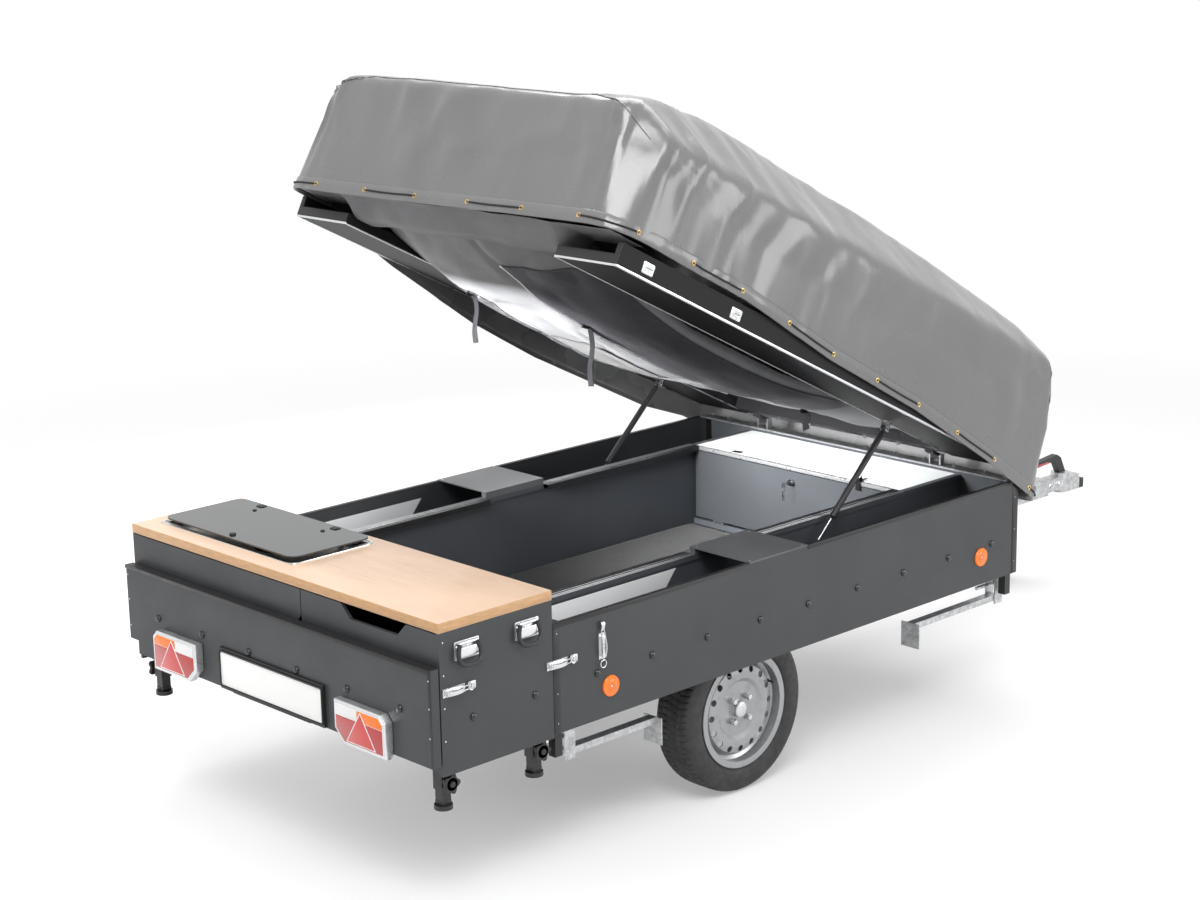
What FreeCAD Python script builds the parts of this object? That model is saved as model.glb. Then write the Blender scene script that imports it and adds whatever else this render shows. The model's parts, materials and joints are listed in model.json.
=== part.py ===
import FreeCAD, Part
import math
import os
import re

import Sketcher

# Folding camper trailer with its luggage tub open: galvanised chassis and drawbar, panelled body,
# rear kitchen unit, hinged tent lid on gas struts. Millimetres, +Y towards the towing vehicle,
# +X to the right, +Z up, origin on the ground under the middle of the whole trailer.

DIMENSIONS = {
    # body
    "body_w": 1560, "body_l": 2300, "body_z": 443, "body_h": 347, "panel_t": 15,
    "floor_t": 12, "inner_x": 514, "inner_t": 12, "inner_h": 297, "cap_w": 24, "cap_h": 18,
    "post_w": 30, "post_drop": 81, "rear_wall_h": 327,
    "liner_t": 2, "liner_h": 290, "liner_l": 510, "liner_lean": 60,
    "arch_t": 3, "arch_h": 145, "arch_l": 632, "arch_slope": 100,
    "bridge_l": 280, "bridge_t": 4, "bridge_y": 870,
    "locker_l": 335, "locker_t": 12, "locker_top_z": 757, "plinth_h": 21,
    "flap_gap": 5, "flap_pin_r": 2.5, "flap_knuckle_r": 5, "lock_r": 11, "lock_l": 12,
    "reflector_r": 34, "reflector_t": 7, "reflector_z": 543,
    "reflector_rear_y": 237, "reflector_front_y": 2086,
    # chassis
    "rail_x": 470, "rail_w": 40, "rail_h": 60, "rail_wall": 3, "cross_w": 40, "cross_h": 25,
    "cross_mid_y": 1200, "hanger_l": 90,
    "bar_w": 70, "bar_wall": 3, "bar_y": 980, "hitch_out": 1480, "shank_l": 130, "shank_w": 54,
    "head_r": 38, "head_h": 84, "head_in": 120, "ball_r": 25.5, "ball_drop": 17,
    "nose_r": 30, "nose_h": 40, "handle_w": 28, "handle_t": 20,
    # axle and wheels
    "wheel_y": 876, "tyre_r": 280, "tyre_w": 155, "wheel_gap": 10, "rim_w": 140, "rim_r": 195,
    "seat_r": 178, "rim_wall": 4, "disc_out": 42, "rim_hole_r": 11, "rim_hole_circle": 137,
    "bolt_circle_r": 50, "bolt_r": 10, "bolt_h": 12, "cap_r": 30, "cap_out": 16,
    "drum_r": 92, "drum_l": 60, "stub_r": 15, "stub_gap": 0.5, "beam_w": 60, "beam_y": 1010,
    "arm_t": 18, "arm_r": 34,
    # corner steadies
    "steady_x": 700, "steady_z": 340, "steady_rear_y": 116, "steady_front_y": 2275,
    "steady_rear_l": 380, "steady_front_l": 480, "steady_w": 34, "steady_h": 22,
    "steady_wall": 3, "steady_foot_w": 80, "steady_foot_h": 90, "steady_foot_t": 4,
    "steady_pin_r": 6, "steady_gap": 0.5, "bracket_t": 5,
    # kitchen
    "kitchen_l": 440, "kitchen_z": 433, "kitchen_h": 437, "board_t": 12, "worktop_t": 30,
    "front_split_x": 128, "front_gap": 4, "grip_x": 330, "grip_w": 304, "grip_h": 42,
    "leg_x": 722, "leg_rear_y": 395, "leg_front_y": 35, "sleeve_w": 40, "sleeve_wall": 3,
    "sleeve_z": 372, "sleeve_top_z": 740, "leg_w": 32.6, "leg_wall": 2.5, "leg_foot_z": 310,
    "foot_r": 28, "foot_h": 14, "knob_r": 20, "knob_l": 24, "knob_z": 396,
    "tray_x": -720, "tray_w": 720, "tray_y": 370, "tray_l": 330, "tray_t": 2, "tray_lip": 14,
    "tray_deep": 22, "bowl_x": -255, "bowl_r": 105, "bowl_deep": 95,
    "burner_r": 42, "burner_h": 10, "burner_one_x": -590, "burner_two_x": -430,
    "glass_t": 5, "glass_z": 916, "glass_hinge_y": 45, "glass_knuckle_r": 5, "glass_pin_r": 2.5,
    "glass_margin": 8, "glass_corner_r": 35,
    "carry_rear_y": 337, "carry_front_y": 103, "carry_z": 772, "carry_w": 90, "carry_h": 62,
    "carry_t": 4, "loop_r": 6, "loop_out": 34,
    "latch_w": 26, "latch_l": 84, "latch_t": 4, "lever_w": 14, "lever_t": 10,
    "latch_body_z": 667, "latch_gate_z": 688, "latch_lid_y": 200, "latch_lid_z": 678,
    # tailgate
    "gate_gap": 5, "gate_t": 30, "gate_z": 467, "gate_h": 290, "gate_rim": 10, "gate_step": 46,
    "gate_hinge_z": 452, "gate_pin_r": 3, "gate_knuckle_r": 4.5, "gate_knuckle_x": 480,
    "lamp_t": 36, "lamp_w": 242, "lamp_h": 135, "lamp_z": 455, "lamp_x": 358, "lamp_slant": 44,
    "plate_w": 520, "plate_h": 110, "plate_t": 2, "plate_x": 12,
    "holder_w": 536, "holder_h": 136, "holder_t": 9, "holder_z": 468,
    # lid
    "lid_angle": 26.8, "lid_hinge_in": 30, "lid_hinge_up": 35, "lid_gap": 10, "lid_l": 2200,
    "lid_front": 22, "lid_board_x": 510, "lid_board_t": 38, "lid_rail_w": 20, "lid_rail_h": 74,
    "lid_bar_w": 50, "lid_bar_h": 62, "lid_bar_wall": 3, "lid_pin_r": 6, "lid_knuckle_r": 12,
    "lid_knuckle_l": 40,
    "lid_pin_gap": 0.4, "hinge_x": 430, "hinge_bar_w": 50, "hinge_bar_t": 6, "ear_t": 6,
    "buckle_w": 46, "buckle_h": 30, "buckle_t": 4.5, "buckle_bar": 6,
    "cover_x": 789.2, "cover_t": 4, "cover_seam_x": 530, "cover_corner": 48,
    "fabric_gap": 0.3, "bundle_t": 120, "bundle_taper": 30,
    # gas struts
    "strut_x": 560, "strut_top_back": 506, "strut_top_down": 20, "strut_r": 11, 
    "strut_l": 385, "strut_open_l": 600, "strut_angle": 136.6, "rod_r": 4, "rod_l": 205,
    "eye_r": 10, "eye_t": 16, "strut_pin_r": 4, "strut_pin_gap": 0.4, "clevis_t": 4,
    "stud_r": 9, "stud_gap": 0.8,
    # jockey wheel
    "jockey_x": 90, "jockey_in": 430, "jockey_r": 24, "jockey_wall": 2.5, "jockey_z": 385,
    "jockey_h": 415, "jockey_inner_r": 20.5, "jockey_inner_h": 330, "fork_z": 228, "fork_t": 12,
    "fork_w": 78, "fork_l": 50, "cheek_in": 30, "cheek_t": 4, "trail": 40, "cheek_r": 14,
    "jockey_wheel_r": 100, "jockey_wheel_w": 50, "jockey_axle_r": 6, "jockey_axle_gap": 0.5,
    "clamp_h": 50, "clamp_t": 8, "crank_l": 90, "crank_r": 6, "swivel_gap": 1, "swivel_pin_r": 8,
}

doc = FreeCAD.newDocument("FoldingCamperTrailer")
sheet = doc.addObject("Spreadsheet::Sheet", "Dims")
for row, (alias, size) in enumerate(DIMENSIONS.items(), start=1):
    sheet.set(f"A{row}", alias)
    sheet.set(f"B{row}", str(size))
    sheet.setAlias(f"B{row}", alias)
doc.recompute()

# Places that several pieces share, as expressions over the sheet's cells.
REACH_REAR = "(kitchen_l + gate_gap + gate_t + lamp_t)"
REAR = f"(({REACH_REAR} - body_l - hitch_out) / 2)"
FRONT = f"({REAR} + body_l)"
BODY_TOP = "(body_z + body_h)"
FLOOR_TOP = "(body_z + floor_t)"
PANEL_IN = "(body_w / 2 - panel_t)"
INNER_OUT = "(inner_x + inner_t)"
INNER_TOP = f"({FLOOR_TOP} + inner_h + cap_h)"
RAIL_Z = "(body_z - rail_h)"
CROSS_Z = "(body_z - cross_h)"
BAR_Z = f"({CROSS_Z} - bar_w)"
HITCH_Y = f"({FRONT} + hitch_out)"
HEAD_Y = f"({HITCH_Y} - head_in)"
SHANK_Z = f"({BAR_Z} + bar_w / 2)"
WHEEL_Y = f"({REAR} + wheel_y)"
WHEEL_X = f"({PANEL_IN} - wheel_gap - tyre_w / 2)"
BEAM_Y = f"({REAR} + beam_y)"
BEAM_Z = f"({BAR_Z} - beam_w / 2)"
LOCKER_Y = f"({FRONT} - panel_t - locker_l)"
CAP_IN = "(inner_x + inner_t / 2 - cap_w / 2)"
FLAP_PIN_Z = f"({FLOOR_TOP} + plinth_h + flap_knuckle_r)"
KITCHEN_Y = f"({REAR} - kitchen_l)"
KITCHEN_TOP = "(kitchen_z + kitchen_h)"
WORKTOP_TOP = f"({KITCHEN_TOP} + worktop_t)"
KITCHEN_FLOOR = "(kitchen_z + board_t)"
GATE_Y = f"({KITCHEN_Y} - gate_gap - gate_t)"
GATE_PIN_Y = f"({KITCHEN_Y} - gate_gap)"
GLASS_PIN_Y = f"({REAR} - glass_hinge_y)"
GLASS_PIN_Z = "(glass_z - glass_knuckle_r)"
LID_Y = f"({FRONT} - lid_hinge_in)"
LID_Z = f"({BODY_TOP} + lid_hinge_up)"
JOCKEY_Y = f"({HITCH_Y} - jockey_in)"

subparts = []


def bound(text):
    """Write an expression over cell names as one that FreeCAD reads from the sheet."""
    return re.sub(r"[A-Za-z_]\w*", lambda m: f"Dims.{m[0]}" if m[0] in DIMENSIONS else m[0], str(text))


def place(item, x=0, y=0, z=0):
    """Bind an object's position to the sheet."""
    for letter, text in (("x", x), ("y", y), ("z", z)):
        item.setExpression(f"Placement.Base.{letter}", bound(text))
    return item


def turn(item, axis, angle):
    """Turn an object about an axis through its own position, by a bound angle."""
    item.Placement.Rotation = FreeCAD.Rotation(FreeCAD.Vector(*axis), 1)
    item.setExpression("Placement.Rotation.Angle", bound(angle))
    return item


def box(name, x, y, z, size_x, size_y, size_z):
    """A block from its lowest corner and its three sizes."""
    item = doc.addObject("Part::Box", name)
    item.setExpression("Length", bound(size_x))
    item.setExpression("Width", bound(size_y))
    item.setExpression("Height", bound(size_z))
    return place(item, x, y, z)


def sided_box(name, side, x, y, z, size_x, size_y, size_z):
    """A block whose x is measured outwards from the middle, on the right (1) or left (-1)."""
    start = x if side > 0 else f"-({x}) - ({size_x})"
    return box(name, start, y, z, size_x, size_y, size_z)


def rod(name, axis, x, y, z, radius, length):
    """A cylinder from the centre of one end, along X, Y or Z."""
    item = doc.addObject("Part::Cylinder", name)
    item.setExpression("Radius", bound(radius))
    item.setExpression("Height", bound(length))
    turns = {"X": ((0, 1, 0), 90), "Y": ((1, 0, 0), -90), "Z": ((0, 0, 1), 0)}
    direction, angle = turns[axis]
    item.Placement.Rotation = FreeCAD.Rotation(FreeCAD.Vector(*direction), angle)
    return place(item, x, y, z)


def sided_rod(name, side, x, y, z, radius, length):
    """A cylinder along X that starts at x outwards from the middle, on one side."""
    start = x if side > 0 else f"-({x}) - ({length})"
    return rod(name, "X", start, y, z, radius, length)


def sketch(body, name, plane, offset, outlines):
    """A sketch of closed straight-edged outlines, each corner bound to the sheet."""
    drawing = body.newObject("Sketcher::SketchObject", name)
    role = [item for item in body.Origin.OriginFeatures if item.Role == f"{plane}_Plane"]
    drawing.AttachmentSupport = [(role[0], "")]
    drawing.MapMode = "FlatFace"
    drawing.setExpression("AttachmentOffset.Base.z", bound(offset))
    first = 0
    for outline in outlines:
        count = len(outline)
        for index in range(count):
            angle = 2 * math.pi * index / count
            following = 2 * math.pi * (index + 1) / count
            start = FreeCAD.Vector(math.cos(angle), math.sin(angle), 0) * 100
            end = FreeCAD.Vector(math.cos(following), math.sin(following), 0) * 100
            drawing.addGeometry(Part.LineSegment(start, end), False)
        for index in range(count):
            following = first + (index + 1) % count
            drawing.addConstraint(Sketcher.Constraint("Coincident", first + index, 2, following, 1))
        for index, corner in enumerate(outline):
            for kind, text in zip(("DistanceX", "DistanceY"), corner):
                number = drawing.addConstraint(
                    Sketcher.Constraint(kind, -1, 1, first + index, 1, 1))
                drawing.setExpression(f"Constraints[{number}]", bound(text))
        first += count
    return drawing


def prism(name, plane, start, depth, *outlines):
    """A padded sketch: outlines in the XY, XZ or YZ plane, from start, depth along the third axis."""
    body = doc.addObject("PartDesign::Body", name)
    offset = f"-(({start}) + ({depth}))" if plane == "XZ" else start
    drawing = sketch(body, f"{name}Sketch", plane, offset, outlines)
    pad = body.newObject("PartDesign::Pad", f"{name}Pad")
    pad.Profile = drawing
    pad.setExpression("Length", bound(depth))
    return body


def sided_prism(name, side, x, depth, outline):
    """A YZ outline padded outwards from x on one side."""
    start = x if side > 0 else f"-({x}) - ({depth})"
    return prism(name, "YZ", start, depth, outline)


def turned(name, outline):
    """A revolved sketch: outline as (along, radius), turned about the X axis."""
    body = doc.addObject("PartDesign::Body", name)
    drawing = sketch(body, f"{name}Sketch", "XY", 0, [outline])
    spin = body.newObject("PartDesign::Revolution", f"{name}Turn")
    spin.Profile = drawing
    axis = [item for item in body.Origin.OriginFeatures if item.Role == "X_Axis"]
    spin.ReferenceAxis = (axis[0], [""])
    spin.Angle = 360
    return body


def rounded(body, direction, radius):
    """Fillet the edges of a body that run straight along a direction."""
    doc.recompute()
    base = body.Tip
    wanted = FreeCAD.Vector(*direction)
    names = []
    for index, edge in enumerate(base.Shape.Edges, start=1):
        if len(edge.Vertexes) < 2:
            continue
        along = edge.Vertexes[1].Point - edge.Vertexes[0].Point
        if along.Length > 0 and abs(abs(along.normalize().dot(wanted)) - 1) < 1e-6:
            names.append(f"Edge{index}")
    fillet = body.newObject("PartDesign::Fillet", f"{body.Name}Fillet")
    fillet.Base = (base, names)
    fillet.setExpression("Radius", bound(radius))
    return body


def fused(name, *items):
    """Several pieces joined into one solid."""
    item = doc.addObject("Part::MultiFuse", name)
    item.Shapes = list(items)
    item.Refine = True
    return item


def cut(name, base, *tools):
    """A piece less one or more tools."""
    item = doc.addObject("Part::Cut", name)
    item.Base = base
    item.Tool = tools[0] if len(tools) == 1 else group(f"{name}Tools", *tools)
    return item


def common(name, *items):
    """What several pieces share."""
    item = doc.addObject("Part::MultiCommon", name)
    item.Shapes = list(items)
    return item


def group(name, *items):
    """Like pieces that don't touch, kept as one object."""
    item = doc.addObject("Part::Compound", name)
    item.Links = list(items)
    return item


def subpart(item, label):
    """Name a finished piece and list it for export."""
    item.Label = label
    subparts.append(item)
    return item


def tube(name, axis, x, y, z, radius, wall, length):
    """A round tube from the centre of one end."""
    outer = rod(f"{name}Outer", axis, x, y, z, radius, length)
    inner = rod(f"{name}Bore", axis, x, y, z, f"{radius} - {wall}", length)
    return cut(name, outer, inner)


# ---------------------------------------------------------------- chassis

def chassis_frame():
    """Two C rails, three cross members and the hangers over the axle."""
    pieces = []
    for side, tag in ((1, "Right"), (-1, "Left")):
        block = sided_box(f"RailBlock{tag}", side, "rail_x", f"{REAR} + cross_w", RAIL_Z,
                          "rail_w", "body_l - 2 * cross_w", "rail_h")
        hollow = sided_box(f"RailHollow{tag}", side, "rail_x", f"{REAR} + cross_w - 1",
                           f"{RAIL_Z} + rail_wall", "rail_w - rail_wall",
                           "body_l - 2 * cross_w + 2", "rail_h - 2 * rail_wall")
        pieces.append(cut(f"Rail{tag}", block, hollow))
        pieces.append(sided_box(f"Hanger{tag}", side, "rail_x", f"{BEAM_Y} - hanger_l / 2",
                                f"{BEAM_Z} + beam_w / 2", "rail_w", "hanger_l",
                                f"{RAIL_Z} - {BEAM_Z} - beam_w / 2"))
    for tag, y in (("Rear", REAR), ("Mid", f"{REAR} + cross_mid_y"), ("Front", f"{FRONT} - cross_w")):
        half = "rail_x" if tag == "Mid" else f"({PANEL_IN} - post_w - 2)"
        pieces.append(box(f"Cross{tag}", f"-{half}", y, CROSS_Z, f"2 * {half}", "cross_w", "cross_h"))
    subpart(group("ChassisFrame", fused("ChassisRails", *pieces), *steady_brackets()), "chassis_frame")


def steady_brackets():
    """The paired ears, each with its pivot pin, that carry the four corner steadies."""
    brackets = []
    for side, side_tag in ((1, "Right"), (-1, "Left")):
        for tag, y in (("Rear", "steady_rear_y"), ("Front", "steady_front_y")):
            name = f"Bracket{tag}{side_tag}"
            foot_y = f"{REAR} + {y} - steady_h"
            ears = [sided_box(f"{name}Ear{index}", side, x, foot_y, "steady_z - steady_h",
                              "bracket_t", "2 * steady_h", f"{CROSS_Z} - steady_z + steady_h")
                    for index, x in enumerate(("steady_x - steady_w / 2 - steady_gap - bracket_t",
                                               "steady_x + steady_w / 2 + steady_gap"))]
            web_y = f"{REAR} + 20" if tag == "Rear" else foot_y
            web_l = f"{y} + steady_h - 20" if tag == "Rear" else "2 * steady_h"
            top = sided_box(f"{name}Top", side, "steady_x - steady_w / 2 - steady_gap - bracket_t",
                            web_y, f"{CROSS_Z} - bracket_t",
                            "steady_w + 2 * steady_gap + 2 * bracket_t", web_l, "bracket_t")
            pin = sided_rod(f"{name}Pin", side, "steady_x - steady_w / 2 - steady_gap - bracket_t",
                            f"{REAR} + {y}", "steady_z", "steady_pin_r",
                            "steady_w + 2 * steady_gap + 2 * bracket_t")
            brackets.append(fused(name, *ears, top, pin))
    return brackets


def steady(side, side_tag, tag, y, length, direction):
    """One folded corner steady: a channel arm with a pivot hole and an upright foot plate."""
    name = f"Steady{tag}{side_tag}"
    pivot_y = f"{REAR} + {y}"
    start = pivot_y if direction > 0 else f"{pivot_y} - {length}"
    arm = sided_box(f"{name}Arm", side, "steady_x - steady_w / 2", start, "steady_z - steady_h / 2",
                    "steady_w", length, "steady_h")
    boss = sided_rod(f"{name}Boss", side, "steady_x - steady_w / 2", pivot_y, "steady_z",
                     "steady_h / 2", "steady_w")
    end = f"{pivot_y} + {length}" if direction > 0 else f"{pivot_y} - {length} - steady_foot_t"
    foot = sided_box(f"{name}Foot", side, "steady_x - steady_foot_w / 2", end,
                     "steady_z + steady_h / 2 - steady_foot_h", "steady_foot_w", "steady_foot_t",
                     "steady_foot_h")
    hollow_start = f"{pivot_y} + steady_h" if direction > 0 else f"{pivot_y} - {length} + steady_h"
    hollow = sided_box(f"{name}Hollow", side, "steady_x - steady_w / 2 + steady_wall", hollow_start,
                       "steady_z - steady_h / 2 - 1", "steady_w - 2 * steady_wall",
                       f"{length} - 2 * steady_h", "steady_h - steady_wall + 1")
    bore = sided_rod(f"{name}Bore", side, "steady_x - steady_w", pivot_y, "steady_z",
                     "steady_pin_r + steady_gap", "2 * steady_w")
    solid = fused(f"{name}Solid", arm, boss, foot)
    subpart(cut(name, solid, hollow, bore), f"steady_{tag.lower()}_{side_tag.lower()}")


def drawbar():
    """One straight square tube under the cross members, to the coupling."""
    length = f"({HITCH_Y} - head_in - shank_l - {REAR} - bar_y)"
    start = f"{REAR} + bar_y"
    outer = box("BarOuter", "-bar_w / 2", start, BAR_Z, "bar_w", length, "bar_w")
    inner = box("BarInner", "-bar_w / 2 + bar_wall", f"{start} - 1", f"{BAR_Z} + bar_wall",
                "bar_w - 2 * bar_wall", f"{length} + 2", "bar_w - 2 * bar_wall")
    subpart(cut("Drawbar", outer, inner), "drawbar")


def coupling():
    """Ball coupling: shank from the drawbar, domed head with its socket, soft nose, lever handle."""
    shank_y = f"{HEAD_Y} - shank_l"
    shank = box("CouplingShank", "-shank_w / 2", shank_y, f"{SHANK_Z} - shank_w / 2",
                "shank_w", "shank_l", "shank_w")
    head_z = f"{SHANK_Z} - head_h / 2"
    head = rod("CouplingHead", "Z", 0, HEAD_Y, head_z, "head_r", "head_h")
    horn = box("CouplingHorn", "-head_r", HEAD_Y, head_z, "2 * head_r", "head_in - nose_r",
               "head_h - nose_h / 2")
    ball = doc.addObject("Part::Sphere", "CouplingBall")
    ball.setExpression("Radius", bound("ball_r"))
    place(ball, 0, HEAD_Y, f"{head_z} + ball_drop")
    mouth = rod("CouplingMouth", "Z", 0, HEAD_Y, f"{head_z} - 1", "ball_r", "ball_drop + 1")
    flange = box("CouplingFlange", "-bar_w / 2", shank_y, BAR_Z, "bar_w", "bracket_t", "bar_w")
    metal = fused("CouplingMetal", shank, head, horn, flange)
    subpart(cut("Coupling", metal, ball, mouth), "coupling_head")
    nose_y = f"{HITCH_Y} - nose_r"
    nose = box("NoseBlock", "-head_r", nose_y, head_z, "2 * head_r", "nose_r", "nose_h")
    top = f"({SHANK_Z} + head_h / 2)"
    outline = [(f"{HEAD_Y} - 20", top), (f"{HEAD_Y} + 20", top), (f"{HEAD_Y} - 14", f"{top} + 66"),
               (f"{HEAD_Y} - 40", f"{top} + 82"), (f"{HEAD_Y} - 175", f"{top} + 70"),
               (f"{HEAD_Y} - 175", f"{top} + 70 - handle_t"),
               (f"{HEAD_Y} - 55", f"{top} + 78 - handle_t")]
    lever = prism("CouplingLever", "YZ", "-handle_w / 2", "handle_w", outline)
    subpart(group("CouplingGrip", lever, nose), "coupling_grip_and_nose")


def axle():
    """Square axle tube with a trailing arm and a stub at each end."""
    inner_end = f"({WHEEL_X} - rim_w / 2 - arm_t)"
    beam = box("AxleBeam", f"-{inner_end}", f"{BEAM_Y} - beam_w / 2", f"{BEAM_Z} - beam_w / 2",
               f"2 * {inner_end}", "beam_w", "beam_w")
    arms = [beam]
    for side, tag in ((1, "Right"), (-1, "Left")):
        outline = [(f"{BEAM_Y} + arm_r", f"{BEAM_Z} - arm_r"), (f"{BEAM_Y} + arm_r", f"{BEAM_Z} + arm_r"),
                   (f"{BEAM_Y} - arm_r", f"{BEAM_Z} + arm_r"), (f"{WHEEL_Y} - arm_r", "tyre_r + arm_r"),
                   (f"{WHEEL_Y} - arm_r", "tyre_r - arm_r"), (f"{WHEEL_Y} + arm_r", "tyre_r - arm_r")]
        arm = sided_prism(f"Arm{tag}", side, inner_end, "arm_t", outline)
        stub = sided_rod(f"Stub{tag}", side, inner_end, WHEEL_Y, "tyre_r", "stub_r",
                         f"{WHEEL_X} + disc_out - {inner_end} - 6")
        arms += [arm, stub]
    subpart(fused("Axle", *arms), "axle")


def wheel(side, tag):
    """One road wheel: tyre, pressed steel rim with its ring of holes, hub with bolts and cap."""
    tyre = turned(f"Tyre{tag}", [
        ("tyre_w / 2 - 27", "seat_r + 0.5"), ("rim_w / 2 - 7", "seat_r + 0.5"),
        ("rim_w / 2 - 5", "rim_r + 2"), ("tyre_w / 2", "tyre_r - 45"), ("tyre_w / 2 - 4", "tyre_r - 20"),
        ("tyre_w / 2 - 15", "tyre_r - 6"), ("tyre_w / 2 - 36", "tyre_r"),
        ("-tyre_w / 2 + 36", "tyre_r"), ("-tyre_w / 2 + 15", "tyre_r - 6"),
        ("-tyre_w / 2 + 4", "tyre_r - 20"), ("-tyre_w / 2", "tyre_r - 45"),
        ("-rim_w / 2 + 5", "rim_r + 2"), ("-rim_w / 2 + 7", "seat_r + 0.5"),
        ("-tyre_w / 2 + 27", "seat_r + 0.5"), ("-tyre_w / 2 + 22", "rim_r + 5"),
        ("-tyre_w / 2 + 11", "tyre_r - 45"), ("-tyre_w / 2 + 18", "tyre_r - 18"),
        ("tyre_w / 2 - 18", "tyre_r - 18"), ("tyre_w / 2 - 11", "tyre_r - 45"),
        ("tyre_w / 2 - 22", "rim_r + 5")])
    rim = turned(f"Rim{tag}", [
        ("-rim_w / 2", "rim_r"), ("-rim_w / 2 + 4", "rim_r"), ("-rim_w / 2 + 6", "seat_r"),
        ("-30", "seat_r"), ("-22", "seat_r - 12"), ("26", "seat_r - 12"), ("34", "seat_r"),
        ("rim_w / 2 - 6", "seat_r"), ("rim_w / 2 - 4", "rim_r"), ("rim_w / 2", "rim_r"),
        ("rim_w / 2", "rim_r - 7"), ("rim_w / 2 - 1", "seat_r - rim_wall"), ("36", "seat_r - rim_wall"),
        ("30", "seat_r - 12 - rim_wall"), ("disc_out - 6", "seat_r - 19"), ("disc_out + 8", "seat_r - 30"),
        ("disc_out + 12", "rim_hole_circle - 9"), ("disc_out + 10", "104"), ("disc_out", "drum_r"),
        ("disc_out", "cap_r"), ("disc_out - rim_wall", "cap_r"), ("disc_out - rim_wall", "drum_r + 2"),
        ("disc_out + 6", "106"), ("disc_out + 8", "rim_hole_circle - 10"), ("disc_out + 4", "seat_r - 32"),
        ("disc_out - 12", "seat_r - 22"), ("22", "seat_r - 12 - rim_wall"),
        ("-20", "seat_r - 12 - rim_wall"), ("-28", "seat_r - rim_wall"),
        ("-rim_w / 2 + 1", "seat_r - rim_wall"), ("-rim_w / 2", "rim_r - 7")])
    holes = []
    for index in range(16):
        angle = 2 * math.pi * index / 16
        holes.append(rod(f"RimHole{tag}{index}", "X", "disc_out - 8",
                         f"rim_hole_circle * {math.cos(angle):.6f}",
                         f"rim_hole_circle * {math.sin(angle):.6f}", "rim_hole_r", 30))
    rim_cut = cut(f"RimCut{tag}", rim, *holes)
    drum = rod(f"Drum{tag}", "X", "disc_out - rim_wall - drum_l", 0, 0, "drum_r", "drum_l")
    cap = rod(f"Cap{tag}", "X", "disc_out - rim_wall", 0, 0, "cap_r - stub_gap", "rim_wall + cap_out")
    bore = rod(f"HubBore{tag}", "X", "disc_out - rim_wall - drum_l - 1", 0, 0, "stub_r + stub_gap",
               "drum_l + 1")
    bolts = []
    for index in range(4):
        angle = math.pi / 4 + math.pi * index / 2
        bolts.append(rod(f"Bolt{tag}{index}", "X", "disc_out",
                         f"bolt_circle_r * {math.cos(angle):.6f}",
                         f"bolt_circle_r * {math.sin(angle):.6f}", "bolt_r", "bolt_h"))
    hub = cut(f"HubCut{tag}", fused(f"HubMetal{tag}", drum, cap), bore)
    metal = group(f"RimAndHub{tag}", rim_cut, hub, *bolts)
    for item, label in ((tyre, "tyre"), (metal, "rim")):
        place(item, f"{WHEEL_X}" if side > 0 else f"-{WHEEL_X}", WHEEL_Y, "tyre_r")
        if side < 0:
            item.Placement.Rotation = FreeCAD.Rotation(FreeCAD.Vector(0, 0, 1), 180)
        subpart(item, f"{label}_{tag.lower()}")


# ---------------------------------------------------------------- body

def body_shell():
    """Floor with its wheel openings, side panels, end walls, corner posts and inner walls."""
    floor = box("FloorBoard", f"-{PANEL_IN}", f"{REAR} + panel_t", "body_z", f"2 * {PANEL_IN}",
                "body_l - 2 * panel_t", "floor_t")
    openings = []
    for side, tag in ((1, "Right"), (-1, "Left")):
        openings.append(sided_box(f"WheelWell{tag}", side, INNER_OUT, f"{WHEEL_Y} - arch_l / 2 + arch_t",
                                  "body_z - 1", f"{PANEL_IN} - {INNER_OUT} + 1",
                                  "arch_l - 2 * arch_t", "floor_t + 2"))
        for corner, y in (("Rear", f"{REAR} + panel_t"), ("Front", f"{FRONT} - panel_t - post_w")):
            openings.append(sided_box(f"PostHole{corner}{tag}", side, f"{PANEL_IN} - post_w", y,
                                      "body_z - 1", "post_w + 1", "post_w", "floor_t + 2"))
    subpart(cut("Floor", floor, *openings), "body_floor")
    posts = []
    walls = []
    for side, tag in ((1, "Right"), (-1, "Left")):
        panel = sided_box(f"SidePanel{tag}", side, PANEL_IN, REAR, "body_z", "panel_t", "body_l",
                          "body_h")
        subpart(panel, f"side_panel_{tag.lower()}")
        wall = sided_box(f"InnerBoard{tag}", side, "inner_x", f"{REAR} + panel_t", FLOOR_TOP,
                         "inner_t", "body_l - 2 * panel_t", "inner_h")
        rim = sided_box(f"InnerCap{tag}", side, CAP_IN,
                        f"{REAR} + panel_t", f"{FLOOR_TOP} + inner_h", "cap_w",
                        "body_l - 2 * panel_t", "cap_h")
        walls.append(fused(f"InnerWall{tag}", wall, rim))
        for corner, y in (("Rear", f"{REAR} + panel_t"), ("Front", f"{FRONT} - panel_t - post_w")):
            posts.append(sided_box(f"Post{corner}{tag}", side, f"{PANEL_IN} - post_w", y,
                                   "body_z - post_drop", "post_w", "post_w", "body_h + post_drop"))
    subpart(group("CornerPosts", *posts), "corner_posts")
    subpart(group("InnerWalls", *walls), "inner_walls")
    rear = box("RearWall", f"-{PANEL_IN}", REAR, "body_z", f"2 * {PANEL_IN}", "panel_t", "rear_wall_h")
    front = box("FrontPanel", f"-{PANEL_IN}", f"{FRONT} - panel_t", "body_z", f"2 * {PANEL_IN}",
                "panel_t", "body_h")
    subpart(group("EndWalls", rear, front), "end_walls")


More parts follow.
